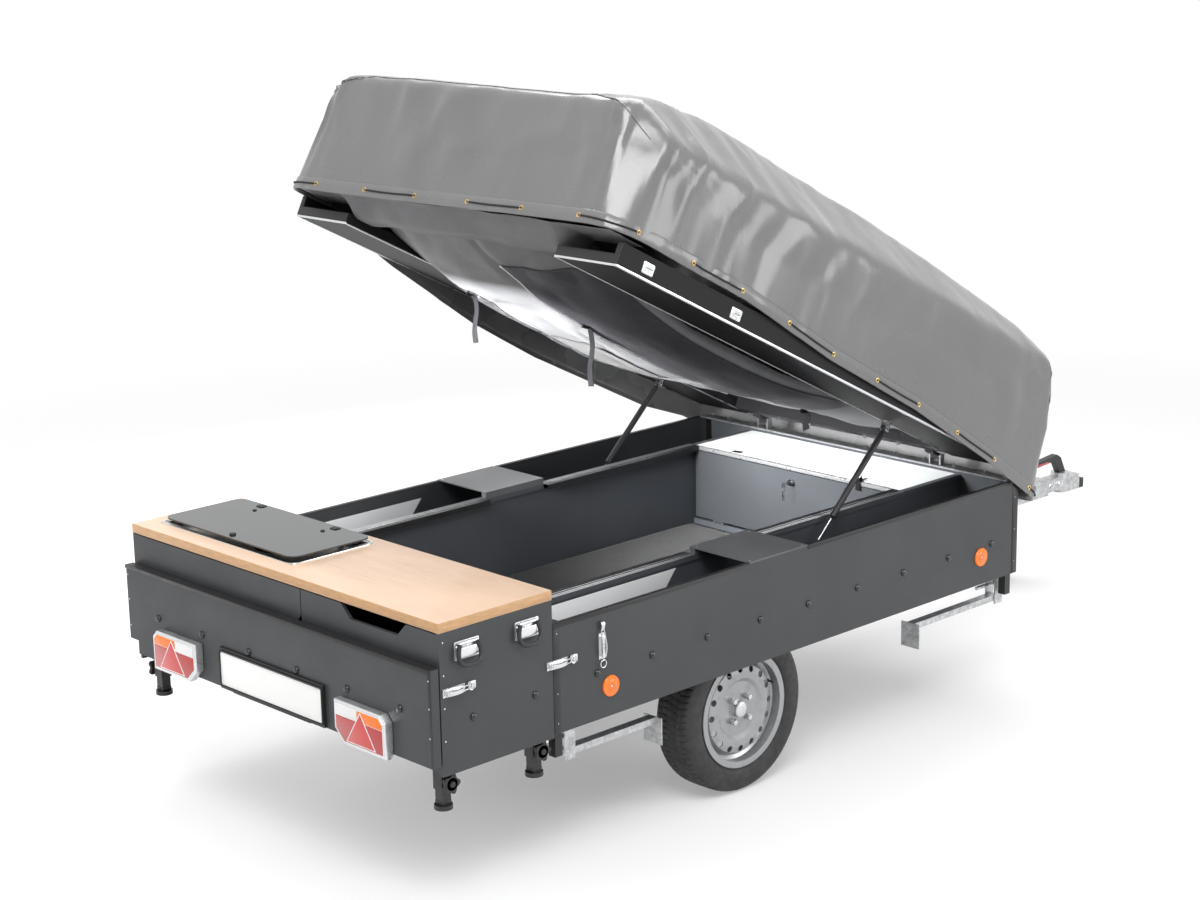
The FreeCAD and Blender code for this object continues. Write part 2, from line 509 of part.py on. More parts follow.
def channels():
    """What lies between inner wall and side panel: sheet liners, wheel arches, bridge plates."""
    liners = []
    arches = []
    for side, tag in ((1, "Right"), (-1, "Left")):
        width = f"({PANEL_IN} - {INNER_OUT})"
        start = f"({REAR} + panel_t + post_w + 1)"
        side_view = [(start, FLOOR_TOP), (f"{start} + liner_l", FLOOR_TOP),
                     (f"{start} + liner_l + liner_lean", f"{FLOOR_TOP} + liner_h"),
                     (start, f"{FLOOR_TOP} + liner_h")]
        block = sided_prism(f"LinerBlock{tag}", side, INNER_OUT, width, side_view)
        room = sided_box(f"LinerRoom{tag}", side, f"{INNER_OUT} + liner_t", f"{start} - 1",
                         f"{FLOOR_TOP} + liner_t", f"{width} - 2 * liner_t",
                         "liner_l + liner_lean + 2", "liner_h")
        liners.append(cut(f"Liner{tag}", block, room))
        low = f"{WHEEL_Y} - arch_l / 2"
        high = f"{WHEEL_Y} + arch_l / 2"
        top = f"{FLOOR_TOP} + arch_h"
        band = [(low, FLOOR_TOP), (f"{low} + arch_slope", top), (f"{high} - arch_slope", top),
                (high, FLOOR_TOP), (f"{high} - arch_t", FLOOR_TOP),
                (f"{high} - arch_slope - arch_t", f"{top} - arch_t"),
                (f"{low} + arch_slope + arch_t", f"{top} - arch_t"), (f"{low} + arch_t", FLOOR_TOP)]
        arches.append(sided_prism(f"Arch{tag}", side, INNER_OUT, width, band))
    subpart(group("ChannelLiners", *liners), "channel_liners")
    subpart(group("WheelArches", *arches), "wheel_arches")
    plates = []
    for side, tag in ((1, "Right"), (-1, "Left")):
        sheet_top = sided_box(f"BridgeTop{tag}", side, CAP_IN, f"{REAR} + bridge_y", BODY_TOP,
                              f"body_w / 2 - {CAP_IN}", "bridge_l", "bridge_t")
        step = sided_box(f"BridgeStep{tag}", side, CAP_IN, f"{REAR} + bridge_y", INNER_TOP,
                         "cap_w", "bridge_l", f"{BODY_TOP} - {INNER_TOP}")
        plates.append(fused(f"Bridge{tag}", sheet_top, step))
    subpart(group("BridgePlates", *plates), "bridge_plates")


def locker():
    """Front locker: top board, plinth with the hinge pin, drop-down flap and its lock."""
    subpart(box("LockerTop", f"-{CAP_IN}", LOCKER_Y, "locker_top_z", f"2 * {CAP_IN}", "locker_l",
                "locker_t"), "locker_top")
    plinth = box("PlinthBoard", "-inner_x", LOCKER_Y, FLOOR_TOP, "2 * inner_x", "locker_t", "plinth_h")
    ears = []
    knuckles = []
    for tag, x in (("Left", -400), ("Right", 360)):
        for index, ear_x in enumerate((x - 8, x + 41)):
            ears.append(box(f"FlapEar{tag}{index}", ear_x, f"{LOCKER_Y} - flap_pin_r",
                            f"{FLOOR_TOP} + plinth_h - 6", 7, "flap_pin_r + locker_t",
                            "6 + flap_knuckle_r + flap_pin_r + 1"))
        ears.append(rod(f"FlapPin{tag}", "X", x - 8, LOCKER_Y, FLAP_PIN_Z, "flap_pin_r", 56))
        collar = rod(f"FlapCollar{tag}", "X", x, LOCKER_Y, FLAP_PIN_Z, "flap_knuckle_r - 0.5", 40)
        leaf = box(f"FlapLeaf{tag}", x, f"{LOCKER_Y}", FLAP_PIN_Z, 40, "flap_knuckle_r - 0.5",
                   "flap_knuckle_r + 1")
        bore = rod(f"FlapBore{tag}", "X", x - 1, LOCKER_Y, FLAP_PIN_Z, "flap_pin_r + 0.3", 42)
        knuckles.append(cut(f"FlapKnuckle{tag}", fused(f"FlapHinge{tag}", collar, leaf), bore))
    subpart(fused("LockerPlinth", plinth, *ears), "locker_plinth")
    flap_z = f"{FLAP_PIN_Z} + flap_knuckle_r"
    board = box("FlapBoard", f"-{CAP_IN} + flap_gap", LOCKER_Y, flap_z, f"2 * ({CAP_IN} - flap_gap)",
                "locker_t", f"locker_top_z - flap_gap - ({flap_z})")
    subpart(fused("LockerFlap", board, *knuckles), "locker_flap")
    subpart(rod("LockBarrel", "Y", 0, f"{LOCKER_Y} - lock_l", "locker_top_z - 46", "lock_r", "lock_l"),
            "locker_lock")


def reflectors():
    """Two round amber reflectors on each side panel."""
    discs = []
    for side, tag in ((1, "Right"), (-1, "Left")):
        for place_name, y in (("Rear", "reflector_rear_y"), ("Front", "reflector_front_y")):
            discs.append(sided_rod(f"Reflector{place_name}{tag}", side, "body_w / 2", f"{REAR} + {y}",
                                   "reflector_z", "reflector_r", "reflector_t"))
    subpart(group("SideReflectors", *discs), "side_reflectors")


def hinge_bar():
    """The bar across the top of the front panel, with two pairs of ears and their pins."""
    pieces = [box("HingeBarPlate", f"-{PANEL_IN}", f"{FRONT} - hinge_bar_w", BODY_TOP,
                  f"2 * {PANEL_IN}", "hinge_bar_w", "hinge_bar_t")]
    for side, tag in ((1, "Right"), (-1, "Left")):
        gap = "(lid_knuckle_l / 2 + 1)"
        for index, x in enumerate((f"hinge_x - {gap} - ear_t", f"hinge_x + {gap}")):
            pieces.append(sided_box(f"HingeEar{tag}{index}", side, x, f"{LID_Y} - lid_knuckle_r",
                                    f"{BODY_TOP} + hinge_bar_t", "ear_t", "2 * lid_knuckle_r",
                                    "lid_hinge_up - hinge_bar_t + lid_knuckle_r"))
        pieces.append(sided_rod(f"HingePin{tag}", side, f"hinge_x - {gap} - ear_t", LID_Y, LID_Z,
                                "lid_pin_r", f"2 * {gap} + 2 * ear_t"))
    subpart(fused("HingeBar", *pieces), "hinge_bar")


# ---------------------------------------------------------------- kitchen

def kitchen_body():
    """Boards of the kitchen box, its split rear front, and the worktop with the tray's opening."""
    inner_w = "(body_w - 2 * board_t)"
    pieces = []
    for side, tag in ((1, "Right"), (-1, "Left")):
        pieces.append(sided_box(f"KitchenSide{tag}", side, "body_w / 2 - board_t", KITCHEN_Y,
                                "kitchen_z", "board_t", "kitchen_l", "kitchen_h"))
    pieces.append(box("KitchenBase", f"-{inner_w} / 2", KITCHEN_Y, KITCHEN_FLOOR, inner_w,
                      "kitchen_l", "board_t"))
    pieces.append(box("KitchenWall", f"-{inner_w} / 2", f"{REAR} - board_t", KITCHEN_FLOOR, inner_w,
                      "board_t", f"{KITCHEN_TOP} - {KITCHEN_FLOOR}"))
    shell = fused("KitchenShell", *pieces)
    holes = []
    for name, side, y in legs():
        holes.append(sided_box(f"SleeveHole{name}", side, "leg_x - sleeve_w / 2",
                               f"{REAR} - {y} - sleeve_w / 2", "kitchen_z - 1", "sleeve_w",
                               "sleeve_w", "3 * board_t"))
    subpart(cut("KitchenCarcass", shell, *holes), "kitchen_carcass")

    top = box("WorktopBoard", "-body_w / 2", KITCHEN_Y, KITCHEN_TOP, "body_w", "kitchen_l", "worktop_t")
    opening = box("WorktopHole", "tray_x + tray_lip", f"{REAR} - tray_y + tray_lip",
                  f"{KITCHEN_TOP} - 1", "tray_w - 2 * tray_lip", "tray_l - 2 * tray_lip",
                  "worktop_t + 2")
    subpart(cut("Worktop", top, opening), "worktop")

    front_z = f"({KITCHEN_FLOOR} + board_t)"
    front_h = f"({KITCHEN_TOP} - {front_z} - front_gap)"
    left = prism("FrontLeft", "XZ", KITCHEN_Y, "board_t", [
        (f"-{inner_w} / 2", front_z), ("front_split_x - 120", front_z),
        ("front_split_x - 30", f"{front_z} + {front_h} - 118"),
        ("front_split_x", f"{front_z} + {front_h} - 84"),
        ("front_split_x", f"{front_z} + {front_h}"), (f"-{inner_w} / 2", f"{front_z} + {front_h}")])
    right = prism("FrontRight", "XZ", KITCHEN_Y, "board_t", [
        ("front_split_x + front_gap", front_z), (f"{inner_w} / 2", front_z),
        (f"{inner_w} / 2", f"{front_z} + {front_h}"), ("grip_x + grip_w", f"{front_z} + {front_h}"),
        ("grip_x + grip_w - grip_h", f"{front_z} + {front_h} - grip_h"),
        ("grip_x + grip_h", f"{front_z} + {front_h} - grip_h"),
        ("grip_x", f"{front_z} + {front_h}"), ("front_split_x + front_gap", f"{front_z} + {front_h}")])
    subpart(group("KitchenFronts", left, right), "kitchen_fronts")


def hob():
    """Steel tray with two burners and a round bowl, under a hinged glass lid."""
    tray_y = f"({REAR} - tray_y)"
    plate = box("TrayPlate", "tray_x", tray_y, WORKTOP_TOP, "tray_w", "tray_l", "tray_t")
    tub = box("TrayTub", "tray_x + tray_lip", f"{tray_y} + tray_lip",
              f"{WORKTOP_TOP} - tray_deep", "tray_w - 2 * tray_lip", "tray_l - 2 * tray_lip",
              "tray_deep")
    inside = box("TrayInside", "tray_x + tray_lip + tray_t", f"{tray_y} + tray_lip + tray_t",
                 f"{WORKTOP_TOP} - tray_deep + tray_t", "tray_w - 2 * tray_lip - 2 * tray_t",
                 "tray_l - 2 * tray_lip - 2 * tray_t", "tray_deep + tray_t")
    middle_y = f"({tray_y} + tray_l / 2)"
    bowl_z = f"{WORKTOP_TOP} - tray_deep - bowl_deep"
    bowl = rod("BowlOuter", "Z", "bowl_x", middle_y, bowl_z, "bowl_r", "bowl_deep + tray_t")
    hollow = rod("BowlInner", "Z", "bowl_x", middle_y, f"{bowl_z} + tray_t", "bowl_r - tray_t",
                 "bowl_deep + tray_t")
    ears = []
    knuckles = []
    for tag, x in (("Left", -590), ("Right", -190)):
        for index, ear_x in enumerate((x, x + 34)):
            ears.append(box(f"GlassEar{tag}{index}", ear_x, f"{GLASS_PIN_Y} - 4",
                            f"{WORKTOP_TOP} + tray_t", 4, 8,
                            f"{GLASS_PIN_Z} + 2 - {WORKTOP_TOP} - tray_t"))
        ears.append(rod(f"GlassPin{tag}", "X", x, GLASS_PIN_Y, GLASS_PIN_Z, "glass_pin_r", 38))
        collar = rod(f"GlassCollar{tag}", "X", x + 5, GLASS_PIN_Y, GLASS_PIN_Z, "glass_knuckle_r", 28)
        leaf = box(f"GlassLeaf{tag}", x + 5, f"{GLASS_PIN_Y} - 26", "glass_z - 2", 28, 26, 2)
        bore = rod(f"GlassBore{tag}", "X", x + 4, GLASS_PIN_Y, GLASS_PIN_Z, "glass_pin_r + 0.3", 30)
        knuckles.append(cut(f"GlassKnuckle{tag}", fused(f"GlassHinge{tag}", collar, leaf), bore))
    steel = fused("TraySteel", plate, tub, bowl, *ears)
    pressed = cut("TrayPressed", cut("TrayHollowed", steel, inside), hollow)
    burners = []
    for tag, x in (("One", "burner_one_x"), ("Two", "burner_two_x")):
        burners.append(rod(f"Burner{tag}", "Z", x, middle_y, f"{WORKTOP_TOP} - tray_deep + tray_t",
                           "burner_r", "burner_h"))
    subpart(group("HobTray", pressed, *burners), "hob_tray")
    pane = prism("GlassPane", "XY", "glass_z", "glass_t", [
        ("tray_x + glass_margin", f"{tray_y} + glass_margin"),
        ("tray_x + tray_w - glass_margin", f"{tray_y} + glass_margin"),
        ("tray_x + tray_w - glass_margin", f"{GLASS_PIN_Y}"), ("tray_x + glass_margin", f"{GLASS_PIN_Y}")])
    subpart(group("HobLid", rounded(pane, (0, 0, 1), "glass_corner_r"), *knuckles), "hob_glass_lid")


def legs():
    """Name, side and distance behind the body of each kitchen leg."""
    return (("RearRight", 1, "leg_rear_y"), ("RearLeft", -1, "leg_rear_y"),
            ("FrontRight", 1, "leg_front_y"), ("FrontLeft", -1, "leg_front_y"))


def kitchen_legs():
    """Square sleeves through the kitchen floor, their star knobs, and the four sliding legs."""
    sleeves = []
    for name, side, y in legs():
        middle_y = f"{REAR} - {y}"
        outer = sided_box(f"SleeveOuter{name}", side, "leg_x - sleeve_w / 2",
                          f"{middle_y} - sleeve_w / 2", "sleeve_z", "sleeve_w", "sleeve_w",
                          "sleeve_top_z - sleeve_z")
        inner = sided_box(f"SleeveInner{name}", side, "leg_x - sleeve_w / 2 + sleeve_wall",
                          f"{middle_y} - sleeve_w / 2 + sleeve_wall", "sleeve_z - 1",
                          "sleeve_w - 2 * sleeve_wall", "sleeve_w - 2 * sleeve_wall",
                          "sleeve_top_z - sleeve_z + 2")
        sleeve = cut(f"Sleeve{name}", outer, inner)
        stem = sided_rod(f"KnobStem{name}", side, "leg_x + sleeve_w / 2", middle_y, "knob_z",
                         "knob_r / 3", "knob_l / 2")
        grip = sided_rod(f"KnobGrip{name}", side, "leg_x + sleeve_w / 2 + knob_l / 2", middle_y,
                         "knob_z", "knob_r", "knob_l / 2")
        sleeves.append(fused(f"LegSleeve{name}", sleeve, stem, grip))
        post = sided_box(f"LegPost{name}", side, "leg_x - leg_w / 2", f"{middle_y} - leg_w / 2",
                         "leg_foot_z + foot_h", "leg_w", "leg_w",
                         "sleeve_top_z - leg_foot_z - foot_h")
        room = sided_box(f"LegRoom{name}", side, "leg_x - leg_w / 2 + leg_wall",
                         f"{middle_y} - leg_w / 2 + leg_wall", "leg_foot_z + foot_h + 4",
                         "leg_w - 2 * leg_wall", "leg_w - 2 * leg_wall",
                         "sleeve_top_z - leg_foot_z - foot_h")
        foot = rod(f"LegFoot{name}", "Z", "leg_x" if side > 0 else "-leg_x", middle_y, "leg_foot_z",
                   "foot_r", "foot_h")
        label = "kitchen_leg_" + re.sub(r"(?<!^)([A-Z])", r"_\1", name).lower()
        subpart(fused(f"Leg{name}", cut(f"LegTube{name}", post, room), foot), label)
    subpart(group("LegSleeves", *sleeves), "leg_sleeves")


def kitchen_hardware():
    """Carry handles and toggle latches on both sides."""
    handles = []
    latches = []
    for side, tag in ((1, "Right"), (-1, "Left")):
        face = "body_w / 2"
        for name, y in (("Rear", "carry_rear_y"), ("Front", "carry_front_y")):
            left_y = f"{REAR} - {y} - carry_w / 2"
            plate = sided_box(f"CarryPlate{name}{tag}", side, face, left_y, "carry_z", "carry_t",
                              "carry_w", "carry_h")
            arms = [sided_rod(f"CarryArm{name}{tag}{index}", side, f"{face} + carry_t",
                              f"{left_y} + {step}", "carry_z + loop_r + 4", "loop_r",
                              "loop_out - carry_t")
                    for index, step in enumerate(("loop_r + 4", "carry_w - loop_r - 4"))]
            bar = rod(f"CarryBar{name}{tag}", "Y",
                      f"{face} + loop_out" if side > 0 else f"-{face} - loop_out", left_y,
                      "carry_z + loop_r + 4", "loop_r", "carry_w")
            handles.append(fused(f"Carry{name}{tag}", plate, *arms, bar))
        across = (("Body", f"{REAR} - latch_l / 3", "latch_body_z"),
                  ("Gate", f"{KITCHEN_Y} + 6", "latch_gate_z"))
        for name, y, z in across:
            plate = sided_box(f"LatchPlate{name}{tag}", side, face, y, f"{z} - latch_w / 2",
                              "latch_t", "latch_l", "latch_w")
            lever = sided_box(f"LatchLever{name}{tag}", side, f"{face} + latch_t", f"{y} + 10",
                              f"{z} - lever_w / 2", "lever_t", "latch_l - 20", "lever_w")
            latches.append(fused(f"Latch{name}{tag}", plate, lever))
        plate = sided_box(f"LatchPlateLid{tag}", side, face, f"{REAR} + latch_lid_y - latch_w / 2",
                          "latch_lid_z - latch_l / 2", "latch_t", "latch_w", "latch_l")
        lever = sided_box(f"LatchLeverLid{tag}", side, f"{face} + latch_t",
                          f"{REAR} + latch_lid_y - lever_w / 2", "latch_lid_z - latch_l / 2 + 10",
                          "lever_t", "lever_w", "latch_l - 20")
        latches.append(fused(f"LatchLid{tag}", plate, lever))
    subpart(group("CarryHandles", *handles), "carry_handles")
    subpart(group("ToggleLatches", *latches, *gate_hinges(), *strut_studs()), "body_fittings")


# ---------------------------------------------------------------- tailgate

def gate_hinges():
    """The two blocks on the kitchen's lower edge, each with the pin that the tailgate turns on."""
    mounts = []
    for side, tag in ((1, "Right"), (-1, "Left")):
        block = sided_box(f"GateBlock{tag}", side, "gate_knuckle_x", f"{GATE_PIN_Y} - gate_knuckle_r",
                          "gate_hinge_z - gate_knuckle_r", 21, "gate_knuckle_r + gate_gap",
                          "2 * gate_knuckle_r")
        pin = sided_rod(f"GatePin{tag}", side, "gate_knuckle_x + 10", GATE_PIN_Y,
                        "gate_hinge_z", "gate_pin_r", 52)
        mounts.append(fused(f"GateMount{tag}", block, pin))
    return mounts


def tailgate():
    """Bottom-hinged rear panel with its rim and knuckles, lamps and number plate."""
    panel = prism("GatePanel", "XZ", GATE_Y, "gate_t", [
        ("-body_w / 2 + gate_step", "gate_z"), ("body_w / 2", "gate_z"),
        ("body_w / 2", "gate_z + gate_h"), ("-body_w / 2", "gate_z + gate_h"),
        ("-body_w / 2", "gate_z + gate_step"), ("-body_w / 2 + gate_step", "gate_z + gate_step")])
    rim = box("GateRim", "-body_w / 2", f"{GATE_Y} - 3", "gate_z + gate_h", "body_w", "gate_t + 3",
              "gate_rim")
    knuckles = []
    for side, tag in ((1, "Right"), (-1, "Left")):
        collar = sided_rod(f"GateCollar{tag}", side, "gate_knuckle_x + 22", GATE_PIN_Y,
                           "gate_hinge_z", "gate_knuckle_r", 40)
        leaf = sided_box(f"GateLeaf{tag}", side, "gate_knuckle_x + 22",
                         f"{GATE_PIN_Y} - gate_knuckle_r", "gate_hinge_z", 40, "gate_knuckle_r",
                         "gate_z - gate_hinge_z")
        bore = sided_rod(f"GateBore{tag}", side, "gate_knuckle_x + 21", GATE_PIN_Y,
                         "gate_hinge_z", "gate_pin_r + 0.3", 42)
        knuckles.append(cut(f"GateKnuckle{tag}", fused(f"GateHinge{tag}", collar, leaf), bore))
    subpart(fused("Tailgate", panel, rim, *knuckles), "tailgate")
    lamps = []
    for side, tag in ((1, "Right"), (-1, "Left")):
        near = "lamp_x"
        far = "lamp_x + lamp_w"
        outline = [(near, "lamp_z + lamp_slant"), (f"{near} + lamp_slant", "lamp_z"),
                   (far, "lamp_z"), (far, "lamp_z + lamp_h - lamp_slant / 2"),
                   (f"{far} - lamp_slant", "lamp_z + lamp_h"), (near, "lamp_z + lamp_h")]
        if side < 0:
            outline = [(f"-({x})", z) for x, z in outline]
        lamps.append(prism(f"Lamp{tag}", "XZ", f"{GATE_Y} - lamp_t", "lamp_t", outline))
    subpart(group("TailLamps", *lamps), "tail_lamps")
    holder = box("HolderPlate", "plate_x - holder_w / 2", f"{GATE_Y} - holder_t", "holder_z",
                 "holder_w", "holder_t", "holder_h")
    subpart(holder, "plate_holder")
    subpart(box("NumberPlate", "plate_x - plate_w / 2", f"{GATE_Y} - holder_t - plate_t",
                "holder_z + holder_h / 2 - plate_h / 2", "plate_w", "plate_t", "plate_h"),
            "number_plate")


# ---------------------------------------------------------------- lid
# Lid pieces are drawn as the closed lid lies, from the hinge pin backwards, and then turned open.

def on_lid(item, label):
    """Put a piece drawn from the hinge pin onto the raised lid."""
    place(item, 0, LID_Y, LID_Z)
    turn(item, (-1, 0, 0), "lid_angle")
    return subpart(item, label)


def lid_frame():
    """Side boards with their outer rails, the front cross bar with its knuckles, and the buckles."""
    buckles = []
    for side, tag in ((1, "Right"), (-1, "Left")):
        board = sided_box(f"LidBoard{tag}", side, "lid_board_x", "-lid_l - lid_front", "lid_gap",
                          "body_w / 2 - lid_board_x", "lid_l", "lid_board_t")
        rail = sided_box(f"LidRail{tag}", side, "body_w / 2 - lid_rail_w", "-lid_l - lid_front",
                         "lid_gap", "lid_rail_w", "lid_l", "lid_rail_h")
        on_lid(fused(f"LidSide{tag}", board, rail), f"lid_board_{tag.lower()}")
        for index, back in enumerate((2093, 1663)):
            outer = sided_box(f"BuckleOuter{tag}{index}", side, "body_w / 2", f"{-back} - buckle_w / 2",
                              "lid_gap + 20", "buckle_t", "buckle_w", "buckle_h")
            inner = sided_box(f"BuckleInner{tag}{index}", side, "body_w / 2 - 1",
                              f"{-back} - buckle_w / 2 + buckle_bar", "lid_gap + 20 + buckle_bar",
                              "buckle_t + 2", "buckle_w - 2 * buckle_bar",
                              "buckle_h - 2 * buckle_bar")
            buckles.append(cut(f"Buckle{tag}{index}", outer, inner))
    on_lid(group("LidFittings", *buckles, *strut_clevises()), "lid_fittings")
    block = box("LidBarBlock", "-lid_board_x", "-lid_front - 30 - lid_bar_w", "lid_gap",
                "2 * lid_board_x", "lid_bar_w", "lid_bar_h")
    room = box("LidBarRoom", "-lid_board_x - 1", "-lid_front - 30 - lid_bar_w + lid_bar_wall",
               "lid_gap + lid_bar_wall", "2 * lid_board_x + 2", "lid_bar_w - 2 * lid_bar_wall",
               "lid_bar_h - 2 * lid_bar_wall")
    bar = cut("LidBarTube", block, room)
    bores = []
    pieces = [bar]
    for side, tag in ((1, "Right"), (-1, "Left")):
        start = "hinge_x - lid_knuckle_l / 2"
        pieces.append(sided_rod(f"LidCollar{tag}", side, start, 0, 0, "lid_knuckle_r",
                                "lid_knuckle_l"))
        pieces.append(sided_box(f"LidArm{tag}", side, start, "-lid_front - 32", 0,
                                "lid_knuckle_l", "lid_front + 32", "lid_knuckle_r"))
        bores.append(sided_rod(f"LidBore{tag}", side, f"{start} - 1", 0, 0, "lid_pin_r + lid_pin_gap",
                               "lid_knuckle_l + 2"))
    on_lid(cut("LidBar", fused("LidBarSolid", *pieces), *bores), "lid_front_bar")


def strut_studs():
    """Ball studs for the struts' lower ends, on the outer faces of the inner walls."""
    studs = []
    bottom_y, bottom_z = strut_bottom()
    for side, tag in ((1, "Right"), (-1, "Left")):
        plate = sided_box(f"StudPlate{tag}", side, INNER_OUT, f"{bottom_y} - 20", f"{bottom_z} - 25",
                          4, 40, 50)
        stud = sided_rod(f"Stud{tag}", side, INNER_OUT, bottom_y, bottom_z, "stud_r",
                         f"strut_x - eye_t / 2 - stud_gap - {INNER_OUT}")
        studs.append(fused(f"StrutStud{tag}", plate, stud))
    return studs


def strut_clevises():
    """Paired ears with a pin, under the lid boards, for the struts' upper ends."""
    clevises = []
    half = "(eye_t / 2 + 1)"
    for side, tag in ((1, "Right"), (-1, "Left")):
        pieces = []
        for index, x in enumerate((f"strut_x - {half} - clevis_t", f"strut_x + {half}")):
            pieces.append(sided_box(f"Clevis{tag}{index}", side, x, "-strut_top_back - eye_r",
                                    "-strut_top_down - eye_r", "clevis_t", "2 * eye_r",
                                    "strut_top_down + eye_r + lid_gap"))
        pieces.append(sided_rod(f"ClevisPin{tag}", side, f"strut_x - {half} - clevis_t",
                                "-strut_top_back", "-strut_top_down", "strut_pin_r",
                                f"2 * {half} + 2 * clevis_t"))
        pieces.append(sided_box(f"ClevisBase{tag}", side, f"strut_x - {half} - clevis_t",
                                "-strut_top_back - eye_r", "lid_gap - 4",
                                f"2 * {half} + 2 * clevis_t", "2 * eye_r", 4))
        clevises.append(fused(f"StrutClevis{tag}", *pieces))
    return clevises


def strut_top():
    """Where the strut's upper pin is with the lid raised, as y and z expressions."""
    y = f"({LID_Y} - strut_top_back * cos(lid_angle) + strut_top_down * -1 * sin(lid_angle))"
    z = f"({LID_Z} + strut_top_back * sin(lid_angle) - strut_top_down * cos(lid_angle))"
    return y, z


def strut_bottom():
    """Where the rod's eye is, at the strut's open length below the upper pin."""
    y, z = strut_top()
    return (f"({y} + strut_open_l * cos(strut_angle))", f"({z} - strut_open_l * sin(strut_angle))")


def struts():
    """Two gas struts: a closed tube with its upper eye, and a rod with its lower eye."""
    top_y, top_z = strut_top()
    for side, tag in ((1, "Right"), (-1, "Left")):
        eye = sided_rod(f"StrutEye{tag}", side, "strut_x - eye_t / 2", 0, 0, "eye_r", "eye_t")
        neck = rod(f"StrutNeck{tag}", "Y", "strut_x" if side > 0 else "-strut_x", 0, 0,
                   "strut_r - 5", 24)
        barrel = rod(f"StrutBarrel{tag}", "Y", "strut_x" if side > 0 else "-strut_x", 20, 0,
                     "strut_r", "strut_l - 20")
        bore = sided_rod(f"StrutBore{tag}", side, "strut_x - eye_t", 0, 0,
                         "strut_pin_r + strut_pin_gap", "2 * eye_t")
        hollow = rod(f"StrutHollow{tag}", "Y", "strut_x" if side > 0 else "-strut_x", 26, 0,
                     "rod_r + 0.5", "strut_l")
        solid = fused(f"StrutSolid{tag}", eye, neck, barrel)
        shell = cut(f"StrutTube{tag}", cut(f"StrutBored{tag}", solid, bore), hollow)
        piston = rod(f"Piston{tag}", "Y", "strut_x" if side > 0 else "-strut_x",
                     "strut_open_l - rod_l", 0, "rod_r", "rod_l - eye_r + 3")
        foot = sided_rod(f"RodEye{tag}", side, "strut_x - eye_t / 2", "strut_open_l", 0, "eye_r",
                         "eye_t")
        for item, label in ((shell, "strut_tube"), (fused(f"StrutRod{tag}", piston, foot), "strut_rod")):
            place(item, 0, top_y, top_z)
            turn(item, (-1, 0, 0), "strut_angle")
            subpart(item, f"{label}_{tag.lower()}")


def cover_block(name, inset, drop):
    """The cover's filled shape: side view, cross-section and plan, drawn in by the inset.

    The lower edge is let down by the drop, so that the inner block leaves the shell open below.
    """
    side_view = [
        (f"-2285 + {inset}", f"90 - {drop}"), (f"-2290 + {inset}", f"510 - {inset}"),
        ("-2210", f"550 - {inset}"), ("-1920", f"605 - {inset}"), ("-1570", f"625 - {inset}"),
        ("-1020", f"600 - {inset}"), ("-520", f"570 - {inset}"), ("-120", f"525 - {inset}"),
        (f"30 - {inset}", f"455 - {inset}"), (f"90 - {inset}", f"345 - {inset}"),
        (f"195 - {inset}", "-50"), (f"195 - {inset}", f"-120 - {drop}"), ("-300", f"-130 - {drop}"),
        ("-1300", f"-120 - {drop}"), ("-1750", f"-10 - {drop}")]
    half = f"(cover_x - {inset})"
    seam = f"(cover_seam_x - {inset})"
    section = [(f"-{half}", -200), (half, -200), (half, f"430 - {inset}"), (seam, f"640 - {inset}"),
               (f"-{seam}", f"640 - {inset}"), (f"-{half}", f"430 - {inset}")]
    rear = f"(-2290 + {inset})"
    front = f"(200 - {inset})"
    side = f"({half} - cover_corner)"
    plan = [(f"-{side}", rear), (side, rear), (half, f"{rear} + cover_corner"),
            (half, f"{front} - cover_corner"), (side, front), (f"-{side}", front),
            (f"-{half}", f"{front} - cover_corner"), (f"-{half}", f"{rear} + cover_corner")]
    return common(name,
                  prism(f"{name}Side", "YZ", -900, 1800, side_view),
                  prism(f"{name}Section", "XZ", -2400, 2700, section),
                  prism(f"{name}Plan", "XY", -300, 1100, plan))


def tent():
    """The fabric cover as a shell open below, and the folded tent that sags between the boards."""
    outer = cover_block("CoverOuter", "0", "0")
    inner = cover_block("CoverInner", "cover_t", "30")
    hem = prism("CoverHem", "YZ", -700, 1700, [
        (-2400, 90), (-2285, 90), (-1653, 98), (-1175, 53), (-670, 35), (-203, -9), (195, -50),
        (300, -60), (300, -400), (-2400, -400)])
    on_lid(cut("TentCover", cut("CoverShell", outer, inner), hem), "tent_cover")
    low = [(-2200, 62), (-1950, -20), (-1550, -85), (-1050, -85), (-600, -25), (-250, 20), (-110, 40)]
    high = [(y, f"{z} + bundle_t") for y, z in reversed(low)]
    side = "(lid_board_x - fabric_gap)"
    narrow = f"({side} - bundle_taper)"
    section = [(f"-{narrow}", -120), (narrow, -120), (side, 0), (side, 300), (f"-{side}", 300),
               (f"-{side}", 0)]
    bundle = common("TentBundle", prism("BundleSide", "YZ", f"-{side}", f"2 * {side}", low + high),
                    prism("BundleSection", "XZ", -2400, 2500, section))
    on_lid(bundle, "tent_bundle")


# ---------------------------------------------------------------- jockey wheel

